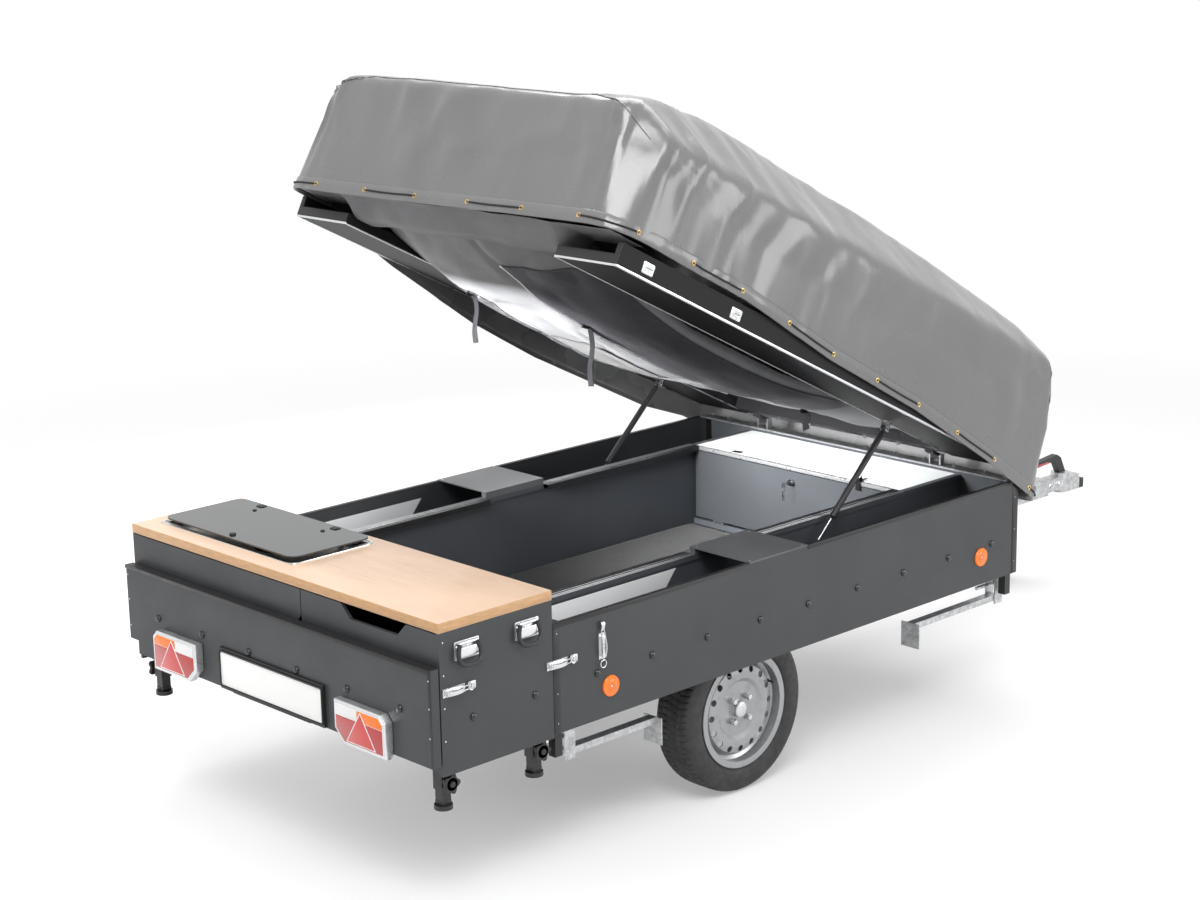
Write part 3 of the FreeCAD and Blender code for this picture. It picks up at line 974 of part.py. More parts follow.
def jockey():
    """Clamp on the drawbar's left, outer tube with crank, inner tube, swivelling fork and wheel."""
    x = "-jockey_x"
    outer = rod("JockeyOuter", "Z", x, JOCKEY_Y, "jockey_z", "jockey_r", "jockey_h + jockey_wall")
    bore = rod("JockeyBore", "Z", x, JOCKEY_Y, "jockey_z - 1", "jockey_r - jockey_wall", "jockey_h + 1")
    spindle = rod("JockeySpindle", "Z", x, JOCKEY_Y, "jockey_z + jockey_h", "crank_r - 1", 40)
    crank = rod("JockeyCrank", "Y", x, f"{JOCKEY_Y} - crank_r", "jockey_z + jockey_h + 28", "crank_r",
                "crank_l")
    knob = rod("JockeyKnob", "Z", x, f"{JOCKEY_Y} + crank_l - 2 * crank_r",
               "jockey_z + jockey_h + 20", "crank_r + 2", 68)
    clamp = box("ClampBlock", "-jockey_x - jockey_r - clamp_t", f"{JOCKEY_Y} - jockey_r - clamp_t",
                f"{BAR_Z} + bar_w - clamp_h + 20", "jockey_x + jockey_r + clamp_t - bar_w / 2",
                "2 * (jockey_r + clamp_t)", "clamp_h")
    solid = fused("JockeyTubeSolid", outer, spindle, crank, knob, clamp)
    subpart(cut("JockeyTube", solid, bore), "jockey_tube")
    inner = tube("JockeyInner", "Z", x, JOCKEY_Y, "fork_z + fork_t + swivel_gap", "jockey_inner_r",
                 "jockey_wall", "jockey_inner_h")
    base = rod("JockeyInnerBase", "Z", x, JOCKEY_Y, "fork_z + fork_t + swivel_gap", "jockey_inner_r", 6)
    pivot = rod("JockeyPivot", "Z", x, JOCKEY_Y, "fork_z - 4", "swivel_pin_r", "fork_t + 10")
    head = rod("JockeyPivotHead", "Z", x, JOCKEY_Y, "fork_z - 8", "swivel_pin_r + 4", "8 - swivel_gap")
    subpart(fused("JockeyInnerTube", inner, base, pivot, head), "jockey_inner_tube")
    crown = box("ForkCrown", f"{x} - fork_w / 2", f"{JOCKEY_Y} - fork_l / 2", "fork_z", "fork_w",
                "fork_l", "fork_t")
    hole = rod("ForkHole", "Z", x, JOCKEY_Y, "fork_z - 1", "swivel_pin_r + 0.3", "fork_t + 2")
    cheeks = []
    axle_y = f"({JOCKEY_Y} - trail)"
    for index, start in enumerate((f"{x} - cheek_in - cheek_t", f"{x} + cheek_in")):
        outline = [(f"{JOCKEY_Y} - 20", "fork_z"), (f"{axle_y} - cheek_r", "jockey_wheel_r"),
                   (f"{axle_y} - cheek_r / 2", "jockey_wheel_r - cheek_r"),
                   (f"{axle_y} + cheek_r / 2", "jockey_wheel_r - cheek_r"),
                   (f"{axle_y} + cheek_r", "jockey_wheel_r"), (f"{JOCKEY_Y} + 20", "fork_z")]
        cheeks.append(prism(f"ForkCheek{index}", "YZ", start, "cheek_t", outline))
    bolt = rod("ForkAxle", "X", f"{x} - cheek_in - cheek_t - 5", axle_y, "jockey_wheel_r",
               "jockey_axle_r", "2 * (cheek_in + cheek_t + 5)")
    subpart(cut("JockeyFork", fused("ForkSolid", crown, *cheeks, bolt), hole), "jockey_fork")
    half = "(jockey_wheel_w / 2)"
    profile = [(f"-{half} - 2", "jockey_axle_r + jockey_axle_gap"),
               (f"{half} + 2", "jockey_axle_r + jockey_axle_gap"),
               (f"{half} + 2", "22"), (f"{half} - 10", "26"), (f"{half} - 10", "jockey_wheel_r - 34"),
               (f"{half} - 3", "jockey_wheel_r - 28"), (half, "jockey_wheel_r - 14"),
               (f"{half} - 6", "jockey_wheel_r - 3"), (f"{half} - 14", "jockey_wheel_r"),
               (f"-{half} + 14", "jockey_wheel_r"), (f"-{half} + 6", "jockey_wheel_r - 3"),
               (f"-{half}", "jockey_wheel_r - 14"), (f"-{half} + 3", "jockey_wheel_r - 28"),
               (f"-{half} + 10", "jockey_wheel_r - 34"), (f"-{half} + 10", "26"), (f"-{half} - 2", "22")]
    roller = turned("JockeyWheel", profile)
    place(roller, x, axle_y, "jockey_wheel_r")
    subpart(roller, "jockey_wheel")


def all_subparts():
    """Build every piece of the trailer."""
    chassis_frame()
    for side, side_tag in ((1, "Right"), (-1, "Left")):
        steady(side, side_tag, "Rear", "steady_rear_y", "steady_rear_l", 1)
        steady(side, side_tag, "Front", "steady_front_y", "steady_front_l", -1)
    drawbar()
    coupling()
    axle()
    wheel(1, "Right")
    wheel(-1, "Left")
    body_shell()
    channels()
    locker()
    reflectors()
    hinge_bar()
    kitchen_body()
    hob()
    kitchen_legs()
    kitchen_hardware()
    tailgate()
    lid_frame()
    struts()
    tent()
    jockey()


def check():
    """Stop if any object failed or any sub-part has no sound shape."""
    for item in doc.Objects:
        if any(state in ("Invalid", "Error") for state in item.State):
            raise RuntimeError(f"{item.Name} failed: {item.State}")
    for item in subparts:
        if item.Shape.isNull() or not item.Shape.isValid() or not item.Shape.Solids:
            raise RuntimeError(f"{item.Label} has no sound shape")


def export():
    """Write each sub-part to its own file, named by its label."""
    os.makedirs("parts", exist_ok=True)
    for item in subparts:
        item.Shape.exportStep(os.path.join("parts", f"{item.Label}.step"))


all_subparts()
doc.recompute()
check()
export()
print(len(subparts), "sub-parts written")
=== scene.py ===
import json
import math

import bmesh
import bpy
import numpy as np
from bpy.props import FloatProperty, FloatVectorProperty, IntProperty, PointerProperty
from mathutils import Matrix, Vector


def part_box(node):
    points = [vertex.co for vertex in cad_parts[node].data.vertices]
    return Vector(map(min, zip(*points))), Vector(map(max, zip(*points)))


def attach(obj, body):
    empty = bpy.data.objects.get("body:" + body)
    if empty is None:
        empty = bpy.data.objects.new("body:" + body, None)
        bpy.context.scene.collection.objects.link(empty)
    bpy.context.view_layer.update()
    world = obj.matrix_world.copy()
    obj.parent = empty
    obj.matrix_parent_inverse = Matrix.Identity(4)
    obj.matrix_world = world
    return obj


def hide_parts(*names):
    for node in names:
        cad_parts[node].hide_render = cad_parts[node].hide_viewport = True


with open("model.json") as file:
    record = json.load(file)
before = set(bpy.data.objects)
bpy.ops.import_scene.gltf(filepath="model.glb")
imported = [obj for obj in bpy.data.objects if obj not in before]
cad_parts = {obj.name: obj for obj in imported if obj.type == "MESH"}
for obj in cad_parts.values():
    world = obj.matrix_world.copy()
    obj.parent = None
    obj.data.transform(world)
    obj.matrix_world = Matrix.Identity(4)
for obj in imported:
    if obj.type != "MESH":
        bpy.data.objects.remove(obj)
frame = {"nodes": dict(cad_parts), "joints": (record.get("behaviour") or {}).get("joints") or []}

bl_info = {
    "name": "Folding Camper Trailer",
    "version": (1, 0, 0),
    "blender": (4, 5, 0),
    "location": "3D View > Sidebar > Trailer",
    "description": "Finishes, cloth and small fittings for a folding camper trailer",
    "category": "Add Mesh",
}

SIDES = (("right", 1), ("left", -1))
LO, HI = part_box("side_panel_right")
REAR, FRONT, TOP, SIDE = LO.y, HI.y, HI.z, HI.x
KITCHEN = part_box("kitchen_carcass")[0].y
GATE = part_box("number_plate")[1].y + 0.009
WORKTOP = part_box("worktop")[1].z
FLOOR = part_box("body_floor")[1].z
LID = next(j for j in frame["joints"] if j["name"] == "lid_hinge")


# ---------------------------------------------------------------- settings

def size(label, default, text, low=0.0, high=10.0):
    """A length that the panel shows."""
    return FloatProperty(name=label, description=text, default=default, min=low, max=high, unit="LENGTH",
                         precision=4)


def colour(label, default, text):
    """A colour that the panel shows."""
    return FloatVectorProperty(name=label, description=text, default=default, size=3, subtype="COLOR",
                               min=0, max=1)


class TrailerSizes(bpy.types.PropertyGroup):
    crease: size("Crease depth", 0.0085, "How deep the cover's folds are")
    sag: size("Sag", 0.016, "How far the folded tent's cloth hangs in swags")
    hem: size("Hem width", 0.045, "Width of the cover's doubled hem")
    eyelet: size("Eyelet radius", 0.009, "Outer radius of the brass eyelets in the hem")
    lacing: size("Lacing radius", 0.0028, "Radius of the elastic lacing through the eyelets")
    tread: size("Tread depth", 0.0042, "Depth of the grooves in the road tyres")
    bolt: size("Bolt radius", 0.0122, "Radius of the domed bolt caps on the panels")
    rivet: size("Rivet radius", 0.003, "Radius of the rivet heads")
    trim: size("Trim thickness", 0.0015, "Thickness of the edge trims")
    pitches: IntProperty(name="Tread pitches", description="Tread blocks round a tyre", default=78, min=20,
                         max=90)


class TrailerColours(bpy.types.PropertyGroup):
    panel: colour("Panel", (0.034, 0.0365, 0.040), "Coated panels of the body and kitchen")
    profile: colour("Profile", (0.012, 0.012, 0.013), "Black profiles, legs and fittings")
    inside: colour("Inside", (0.055, 0.060, 0.068), "Boards inside the luggage tub")
    cover: colour("Cover", (0.136, 0.136, 0.138), "Coated cloth of the cover")
    canvas: colour("Canvas", (0.105, 0.107, 0.112), "Light cloth of the folded tent")
    dark_cloth: colour("Dark cloth", (0.016, 0.015, 0.021), "Dark cloth of the folded tent")
    zinc: colour("Zinc", (0.55, 0.56, 0.57), "Galvanised and plated steel")
    silver: colour("Silver", (0.72, 0.73, 0.74), "Bare aluminium trims and liners")
    rim: colour("Wheel steel", (0.34, 0.345, 0.355), "Painted wheel steel")
    beech: colour("Beech", (0.63, 0.45, 0.325), "Worktop face")
    beech_edge: colour("Beech edge", (0.56, 0.33, 0.16), "Worktop edge band")
    glass: colour("Glass", (0.012, 0.015, 0.017), "Tinted hob lid")
    rubber: colour("Rubber", (0.017, 0.017, 0.018), "Tyres, pads and feet")
    amber: colour("Amber", (1.0, 0.20, 0.002), "Amber reflectors and lenses")
    red: colour("Red", (0.52, 0.012, 0.012), "Red lenses and the lever's grip")
    brass: colour("Brass", (0.62, 0.44, 0.18), "Eyelets")
    plate: colour("Plate", (0.78, 0.78, 0.77), "Blank number plate")
    floor: colour("Floor", (0.86, 0.86, 0.86), "Studio floor")


# ---------------------------------------------------------------- surfaces

def skin(rings, wrap=True, caps=True, loop=False):
    """Faces over rings of points, an array (rings, points, 3): each ring joins to the next, and flat faces close the ends."""
    count, around = rings.shape[:2]
    index = np.arange(count * around).reshape(count, around)
    if loop:
        index = np.vstack([index, index[:1]])
    if wrap:
        index = np.hstack([index, index[:, :1]])
    quads = np.stack([index[:-1, :-1], index[:-1, 1:], index[1:, 1:], index[1:, :-1]], -1).reshape(-1, 4)
    faces = [quads]
    if caps and wrap and not loop:
        faces += [index[:1, :around][:, ::-1], index[-1:, :around]]
    return rings.reshape(-1, 3), faces


def axes(outline, along, axis):
    """Points from outline coordinates, two to a point, and a distance along the third axis."""
    a, b = outline[..., 0], outline[..., 1]
    along = np.broadcast_to(along, a.shape)
    return np.stack({"x": (along, a, b), "y": (a, along, b), "z": (a, b, along)}[axis], -1)


def rect(x, y, width, height, radius=0.0, steps=3):
    """A rectangle round its centre, each corner a quarter circle of the radius."""
    if radius <= 0:
        return np.array([(-1, -1), (1, -1), (1, 1), (-1, 1)]) * (width / 2, height / 2) + (x, y)
    turn = np.linspace(0, math.pi / 2, steps + 1) + np.arange(4)[:, None] * math.pi / 2
    corner = np.array([(1, 1), (-1, 1), (-1, -1), (1, -1)]) * (width / 2 - radius, height / 2 - radius)
    arc = radius * np.stack([np.cos(turn), np.sin(turn)], -1)
    return (corner[:, None] + arc).reshape(-1, 2) + (x, y)


def disc(x, y, radius, count=24, lobes=0, depth=0.0):
    """A circle, its radius rising and falling by the depth as many times as it has lobes."""
    turn = np.linspace(0, 2 * math.pi, count, endpoint=False)
    reach = radius * (1 + depth * np.cos(lobes * turn))
    return np.stack([x + reach * np.cos(turn), y + reach * np.sin(turn)], -1)


def drawn_in(outline, inset):
    """The outline with each corner moved inwards along its bisector, so that its sides move by the inset."""
    side = np.roll(outline, -1, 0) - outline
    side /= np.maximum(np.linalg.norm(side, axis=1, keepdims=True), 1e-9)
    area = (outline[:, 0] * np.roll(outline[:, 1], -1) - np.roll(outline[:, 0], -1) * outline[:, 1]).sum()
    normal = np.stack([-side[:, 1], side[:, 0]], -1) * np.sign(area)
    before = np.roll(normal, 1, 0)
    both = 1 + (normal * before).sum(1, keepdims=True)
    return outline + inset * (normal + before) / np.maximum(both, 0.3)


def slab(outline, start, depth, axis="y", edge=0.001, steps=2):
    """An outline carried along an axis, drawn in by a quarter circle at both ends so that its edges are eased."""
    turn = np.linspace(0, math.pi / 2, steps + 1)
    reach = math.copysign(edge, depth)
    low = start + reach * (1 - np.cos(turn))
    high = start + depth - reach * (1 - np.cos(turn[::-1]))
    inset = edge * (1 - np.sin(turn))
    rings = [axes(drawn_in(outline, i), a, axis)
             for a, i in zip(np.r_[low, high], np.r_[inset, inset[::-1]])]
    return skin(np.array(rings))


def block(low, high, edge=0.001):
    """A box between two corners with eased edges: a rectangle carried upwards."""
    low, high = np.array(low), np.array(high)
    mid, span = (low + high) / 2, high - low
    return slab(rect(mid[0], mid[1], span[0], span[1], edge, 2), low[2], span[2], "z", edge)


def lathe(profile, centre, axis="x", count=32, sign=1):
    """A profile of (along, radius) turned round an axis through the centre."""
    profile = np.array(profile, float)
    turn = np.linspace(0, 2 * math.pi, count, endpoint=False)
    ring = np.stack([np.cos(turn), np.sin(turn)], -1)
    rings = axes(profile[:, 1, None, None] * ring, sign * profile[:, 0, None], axis)
    return skin(rings + np.array(centre))


def sweep(path, outline, up=(0, 0, 1), closed=False):
    """An outline carried along a path, its first coordinate across the path and its second along up."""
    path, outline = np.array(path, float), np.array(outline, float)
    if closed:
        tangent = np.roll(path, -1, 0) - np.roll(path, 1, 0)
    else:
        tangent = np.gradient(path, axis=0)
    tangent /= np.maximum(np.linalg.norm(tangent, axis=1, keepdims=True), 1e-9)
    across = np.cross(tangent, np.broadcast_to(np.array(up, float), path.shape))
    across /= np.maximum(np.linalg.norm(across, axis=1, keepdims=True), 1e-9)
    over = np.cross(across, tangent)
    rings = path[:, None] + outline[None, :, 0, None] * across[:, None] + outline[None, :, 1, None] * over[:, None]
    return skin(rings, caps=not closed, loop=closed)


def smooth_path(points, count=24):
    """A curve through points: each span blends the two parabolas of its ends, as Catmull and Rom give it."""
    points = np.array(points, float)
    ends = np.vstack([2 * points[0] - points[1], points, 2 * points[-1] - points[-2]])
    t = np.linspace(0, len(points) - 1 - 1e-6, count)
    i, f = t.astype(int), (t % 1)[:, None]
    a, b, c, d = (ends[i + k] for k in range(4))
    return 0.5 * (2 * b + (c - a) * f + (2 * a - 5 * b + 4 * c - d) * f ** 2 + (3 * b - a - 3 * c + d) * f ** 3)


def mirrored(parts):
    """The parts and their mirror images across the middle."""
    return parts + [(points * (-1, 1, 1), faces) for points, faces in parts]


def noise(points, period, seed):
    """Smooth random heights between -1 and 1: random values on a cubic lattice, eased from corner to corner."""
    values = np.random.default_rng(seed).uniform(-1, 1, (64, 64, 64))
    at = points / period + 17.3
    cell, part = np.floor(at).astype(int), at - np.floor(at)
    part = part * part * (3 - 2 * part)
    total = 0.0
    for corner in np.ndindex(2, 2, 2):
        weight = np.prod(np.where(corner, part, 1 - part), -1)
        i, j, k = ((cell[..., n] + corner[n]) % 64 for n in range(3))
        total = total + weight * values[i, j, k]
    return total


def on_lid(points):
    """Points from the closed lid's own frame, from the hinge pin with +Y forwards, to the raised lid."""
    y, z = points[..., 1], points[..., 2]
    c, s = math.cos(LID_TILT), math.sin(LID_TILT)
    return np.stack([points[..., 0], PIN[1] + c * y + s * z, PIN[2] + c * z - s * y], -1)


def lidded(parts):
    """Parts drawn in the closed lid's frame, put on the raised lid."""
    return [(on_lid(points), faces) for points, faces in parts]


def piece(name, parts, finish, body, sharp=40, replaces=()):
    """One mesh object from parts, welded, facing outwards, riding on a body."""
    starts = np.cumsum([0] + [len(points) for points, _ in parts])
    faces = [np.asarray(f) + start for (_, group), start in zip(parts, starts) for f in group]
    sizes = np.concatenate([np.full(len(f), f.shape[1]) for f in faces])
    mesh = bpy.data.meshes.new(name)
    mesh.vertices.add(starts[-1])
    mesh.vertices.foreach_set("co", np.concatenate([points for points, _ in parts]).astype(np.float32).ravel())
    corners = np.concatenate([f.ravel() for f in faces]).astype(np.int32)
    mesh.loops.add(len(corners))
    mesh.loops.foreach_set("vertex_index", corners)
    mesh.polygons.add(len(sizes))
    mesh.polygons.foreach_set("loop_start", np.r_[0, np.cumsum(sizes)[:-1]].astype(np.int32))
    mesh.update(calc_edges=True)
    work = bmesh.new()
    work.from_mesh(mesh)
    bmesh.ops.remove_doubles(work, verts=work.verts, dist=1e-6)
    bmesh.ops.recalc_face_normals(work, faces=work.faces)
    work.to_mesh(mesh)
    work.free()
    mesh.polygons.foreach_set("use_smooth", np.ones(len(mesh.polygons), bool))
    mesh.set_sharp_from_angle(angle=math.radians(sharp))
    made = bpy.data.objects.new(name, mesh)
    bpy.context.scene.collection.objects.link(made)
    mesh.materials.append(finish)
    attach(made, body)
    if replaces:
        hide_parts(*replaces)
    return made


def thicken(made, thickness):
    """Give an open sheet its thickness, on its inner side."""
    wall = made.modifiers.new("Wall", "SOLIDIFY")
    wall.thickness, wall.offset = thickness, -1
    return made


PIN = np.array(LID["pos_m"], float)
LID_TILT = math.radians(max(LID["range_deg"]))


# ---------------------------------------------------------------- finishes

class Finish:
    """A procedural material: one shader, with patterns over the object's own coordinates for its colour, gloss and relief."""

    def __init__(self, name, tone, gloss, metal=0.0, **plain):
        self.material = bpy.data.materials.new(name)
        self.material.use_nodes = True
        self.tree = self.material.node_tree
        self.shader = self.tree.nodes["Principled BSDF"]
        self.tone, self.normal = tone, None
        self.shader.inputs["Base Color"].default_value = (*tone, 1)
        self.shader.inputs["Roughness"].default_value = gloss
        self.shader.inputs["Metallic"].default_value = metal
        for socket, value in plain.items():
            self.shader.inputs[socket.replace("_", " ").title().replace("Ior", "IOR")].default_value = value
        self.place = self.tree.nodes.new("ShaderNodeTexCoord")

    def pattern(self, kind, period, stretch=(1, 1, 1), turn=(0, 0, 0), space="Object", **plain):
        """A noise, cell or wave texture that repeats about once in the period, in metres."""
        mapping = self.tree.nodes.new("ShaderNodeMapping")
        mapping.inputs["Scale"].default_value = [1 / (period * s) for s in stretch]
        mapping.inputs["Rotation"].default_value = turn
        node = self.tree.nodes.new({"noise": "ShaderNodeTexNoise", "cells": "ShaderNodeTexVoronoi",
                                    "wave": "ShaderNodeTexWave"}[kind])
        node.inputs["Scale"].default_value = 1
        for socket, value in plain.items():
            node.inputs[socket.title()].default_value = value
        self.tree.links.new(self.place.outputs[space], mapping.inputs["Vector"])
        self.tree.links.new(mapping.outputs["Vector"], node.inputs["Vector"])
        return node.outputs["Distance" if kind == "cells" else "Fac"]

    def spread(self, factor, low, high, start=0.0, end=1.0):
        """The factor's range from low to high, spread from start to end."""
        node = self.tree.nodes.new("ShaderNodeMapRange")
        for socket, value in (("From Min", low), ("From Max", high), ("To Min", start), ("To Max", end)):
            node.inputs[socket].default_value = value
        self.tree.links.new(factor, node.inputs["Value"])
        return node.outputs["Result"]

    def tint(self, factor, tone, low=0.35, high=0.65):
        """Mix another colour in where the factor is high."""
        mix = self.tree.nodes.new("ShaderNodeMix")
        mix.data_type = "RGBA"
        socket = self.shader.inputs["Base Color"]
        if socket.is_linked:
            self.tree.links.new(socket.links[0].from_socket, mix.inputs[6])
        else:
            mix.inputs[6].default_value = (*self.tone, 1)
        mix.inputs[7].default_value = (*tone, 1)
        self.tree.links.new(self.spread(factor, low, high), mix.inputs[0])
        self.tree.links.new(mix.outputs[2], socket)
        return self

    def gloss(self, factor, start, end, low=0.3, high=0.7):
        """Let the roughness follow the factor."""
        self.tree.links.new(self.spread(factor, low, high, start, end), self.shader.inputs["Roughness"])
        return self

    def relief(self, factor, depth, strength=1.0):
        """Raise the surface by the depth, in metres, where the factor is high."""
        bump = self.tree.nodes.new("ShaderNodeBump")
        bump.inputs["Strength"].default_value = strength
        bump.inputs["Distance"].default_value = depth
        self.tree.links.new(factor, bump.inputs["Height"])
        if self.normal:
            self.tree.links.new(self.normal, bump.inputs["Normal"])
        self.normal = bump.outputs["Normal"]
        self.tree.links.new(self.normal, self.shader.inputs["Normal"])
        return self


def shade(tone, share):
    """A colour made darker or lighter by a share."""
    return tuple(min(1.0, c * share) for c in tone)


FINISHES = {}


def make_finishes():
    """Every finish of the trailer, by name."""
    c = bpy.context.scene.trailer_colours
    f = Finish("coated_panel", c.panel, 0.42, specular_ior_level=0.45)
    f.relief(f.pattern("noise", 0.0011, detail=2.0), 0.00012, 0.5)
    f.tint(f.pattern("noise", 0.35, detail=4.0), shade(c.panel, 1.25), 0.4, 0.75)
    FINISHES["panel"] = f.gloss(f.pattern("noise", 0.12, detail=5.0), 0.36, 0.5).material

    f = Finish("inside_board", c.inside, 0.38, specular_ior_level=0.5)
    f.relief(f.pattern("noise", 0.0016, (1, 3, 1), detail=2.0), 0.0001, 0.4)
    FINISHES["inside"] = f.tint(f.pattern("noise", 0.5, detail=5.0), shade(c.inside, 1.3)).material

    f = Finish("black_profile", c.profile, 0.33)
    f.relief(f.pattern("noise", 0.0014, detail=3.0), 0.00015, 0.5)
    FINISHES["profile"] = f.gloss(f.pattern("noise", 0.06, detail=4.0), 0.26, 0.45).material

    f = Finish("lid_board", shade(c.profile, 0.7), 0.55, specular_ior_level=0.2)
    FINISHES["board"] = f.relief(f.pattern("noise", 0.0014, detail=3.0), 0.00015, 0.5).material

    f = Finish("black_plastic", shade(c.profile, 1.3), 0.5)
    f.relief(f.pattern("noise", 0.0008, detail=2.0), 0.00012, 0.6)
    FINISHES["plastic"] = f.material

    f = Finish("bolt_cap", shade(c.profile, 0.3), 0.22, coat_weight=0.5)
    FINISHES["cap"] = f.gloss(f.pattern("noise", 0.004, detail=2.0), 0.18, 0.3).material

    f = Finish("galvanised", c.zinc, 0.42, 0.9)
    f.tint(f.pattern("cells", 0.022, randomness=1.0), shade(c.zinc, 0.72), 0.2, 0.8)
    f.tint(f.pattern("noise", 0.009, detail=4.0), shade(c.zinc, 1.25), 0.5, 0.8)
    f.relief(f.pattern("noise", 0.004, detail=4.0), 0.0003, 0.4)
    FINISHES["zinc"] = f.gloss(f.pattern("noise", 0.02, detail=4.0), 0.3, 0.55).material

    f = Finish("bright_zinc", shade(c.zinc, 1.2), 0.25, 1.0)
    FINISHES["bright"] = f.gloss(f.pattern("noise", 0.01, detail=3.0), 0.16, 0.36).material

    # Pale liner sheet for the channel walls: partly the sheet's own pale tone, partly painted light for the lit rear of
    # the channels.
    f = Finish("pale_sheet_with_painted_light", (0.86, 0.87, 0.88), 0.3, 0.25)
    FINISHES["liner"] = f.relief(f.pattern("noise", 0.002, (1, 40, 1), detail=2.0), 0.0001, 0.3).material

    f = Finish("silver_sheet", c.silver, 0.3, 0.85)
    f.relief(f.pattern("noise", 0.002, (1, 40, 1), detail=2.0), 0.0001, 0.35)
    FINISHES["silver"] = f.gloss(f.pattern("noise", 0.05, (1, 8, 1), detail=4.0), 0.22, 0.42).material

    f = Finish("chrome", (0.78, 0.79, 0.80), 0.08, 1.0)
    FINISHES["chrome"] = f.gloss(f.pattern("noise", 0.02, detail=3.0), 0.05, 0.14).material

    f = Finish("grey_sheet", (0.105, 0.108, 0.112), 0.4, 0.2)
    f.relief(f.pattern("noise", 0.0012, detail=2.0), 0.0001, 0.5)
    FINISHES["grey"] = f.tint(f.pattern("noise", 0.2, detail=4.0), (0.13, 0.133, 0.138)).material

    # Locker top's white board: the board's own pale tone, raised further as painted light for the light falling on the
    # top under the raised lid.
    f = Finish("white_board", (0.84, 0.85, 0.86), 0.3)
    f.relief(f.pattern("noise", 0.003, detail=2.0), 0.00008, 0.3)
    FINISHES["white"] = f.tint(f.pattern("noise", 0.3, detail=4.0), (0.88, 0.89, 0.90)).material

    f = Finish("beech_face", c.beech, 0.42, coat_weight=0.15)
    f.tint(f.pattern("noise", 0.011, (14, 1, 1), detail=5.0, distortion=0.4), shade(c.beech, 0.86), 0.4, 0.75)
    f.tint(f.pattern("noise", 0.0016, (9, 1, 1), detail=2.0), shade(c.beech, 0.78), 0.56, 0.8)
    f.relief(f.pattern("noise", 0.0015, (12, 1, 1), detail=2.0), 0.0001, 0.3)
    FINISHES["beech"] = f.tint(f.pattern("noise", 0.12, (4, 1, 1), detail=3.0), shade(c.beech, 1.08)).material

    f = Finish("beech_edge", c.beech_edge, 0.4)
    FINISHES["beech_edge"] = f.tint(f.pattern("noise", 0.004, (10, 10, 1), detail=4.0),
                                    shade(c.beech_edge, 0.78)).material

    f = Finish("tinted_glass", c.glass, 0.05, coat_weight=0.4)
    FINISHES["glass"] = f.gloss(f.pattern("noise", 0.08, detail=5.0), 0.04, 0.09).material

    f = Finish("brushed_steel", (0.55, 0.55, 0.54), 0.28, 1.0)
    f.relief(f.pattern("noise", 0.0006, (60, 1, 1), detail=2.0), 0.00008, 0.4)
    FINISHES["steel"] = f.material

    f = Finish("wheel_steel", c.rim, 0.3, 0.6, coat_weight=0.35)
    f.relief(f.pattern("noise", 0.003, detail=3.0), 0.00012, 0.35)
    f.tint(f.pattern("noise", 0.03, detail=5.0), shade(c.rim, 0.82), 0.5, 0.8)
    FINISHES["rim"] = f.material

    f = Finish("rubber", c.rubber, 0.62)
    f.tint(f.pattern("noise", 0.05, detail=5.0), shade(c.rubber, 1.9), 0.45, 0.8)
    f.relief(f.pattern("noise", 0.0012, detail=3.0), 0.0002, 0.5)
    FINISHES["rubber"] = f.gloss(f.pattern("noise", 0.02, detail=4.0), 0.5, 0.75).material

    f = Finish("amber_lens", c.amber, 0.2, coat_weight=0.3, subsurface_weight=0.1)
    f.relief(f.pattern("cells", 0.0042, randomness=0.0), 0.0008, 0.35)
    FINISHES["amber"] = f.tint(f.pattern("cells", 0.0042, randomness=0.0), shade(c.amber, 0.7), 0.3, 0.8).material

    f = Finish("red_lens", c.red, 0.12, coat_weight=0.9)
    f.relief(f.pattern("wave", 0.006, turn=(0, math.radians(90), 0)), 0.0006, 0.4)
    FINISHES["red"] = f.tint(f.pattern("wave", 0.006, turn=(0, math.radians(90), 0)),
                             shade(c.red, 0.55), 0.2, 0.9).material

    f = Finish("clear_lens", (0.72, 0.72, 0.72), 0.1, coat_weight=0.8)
    FINISHES["clear"] = f.relief(f.pattern("wave", 0.006, turn=(0, math.radians(90), 0)), 0.0006, 0.4).material

    f = Finish("red_reflector", shade(c.red, 1.5), 0.14, coat_weight=0.9)
    f.relief(f.pattern("cells", 0.0038, randomness=0.0), 0.0008, 0.4)
    FINISHES["reflector"] = f.tint(f.pattern("cells", 0.0038, randomness=0.0), shade(c.red, 0.5), 0.35, 0.85).material

    f = Finish("brass", c.brass, 0.28, 1.0)
    FINISHES["brass"] = f.gloss(f.pattern("noise", 0.004, detail=3.0), 0.2, 0.4).material

    f = Finish("blank_plate", c.plate, 0.3, coat_weight=0.4)
    FINISHES["plate"] = f.relief(f.pattern("cells", 0.002, randomness=0.2), 0.00006, 0.3).material

    f = Finish("carpet", (0.0055, 0.0055, 0.006), 0.95, sheen_weight=0.1, sheen_roughness=0.6)
    f.tint(f.pattern("noise", 0.0045, detail=3.0), (0.036, 0.036, 0.038), 0.5, 0.66)
    FINISHES["carpet"] = f.relief(f.pattern("noise", 0.003, detail=5.0), 0.003, 0.9).material

    f = Finish("cover_cloth", c.cover, 0.3, coat_weight=0.45, coat_roughness=0.16)
    f.relief(f.pattern("noise", 0.10, (1, 1, 3.5), detail=3.0), 0.005, 0.4)
    f.relief(f.pattern("noise", 0.030, (1, 1, 2), detail=3.0), 0.0012, 0.35)
    f.relief(f.pattern("noise", 0.0016, detail=2.0), 0.00012, 0.3)
    f.tint(f.pattern("noise", 0.5, detail=3.0), shade(c.cover, 0.9), 0.4, 0.75)
    FINISHES["cover"] = f.gloss(f.pattern("noise", 0.3, detail=3.0), 0.22, 0.34).material

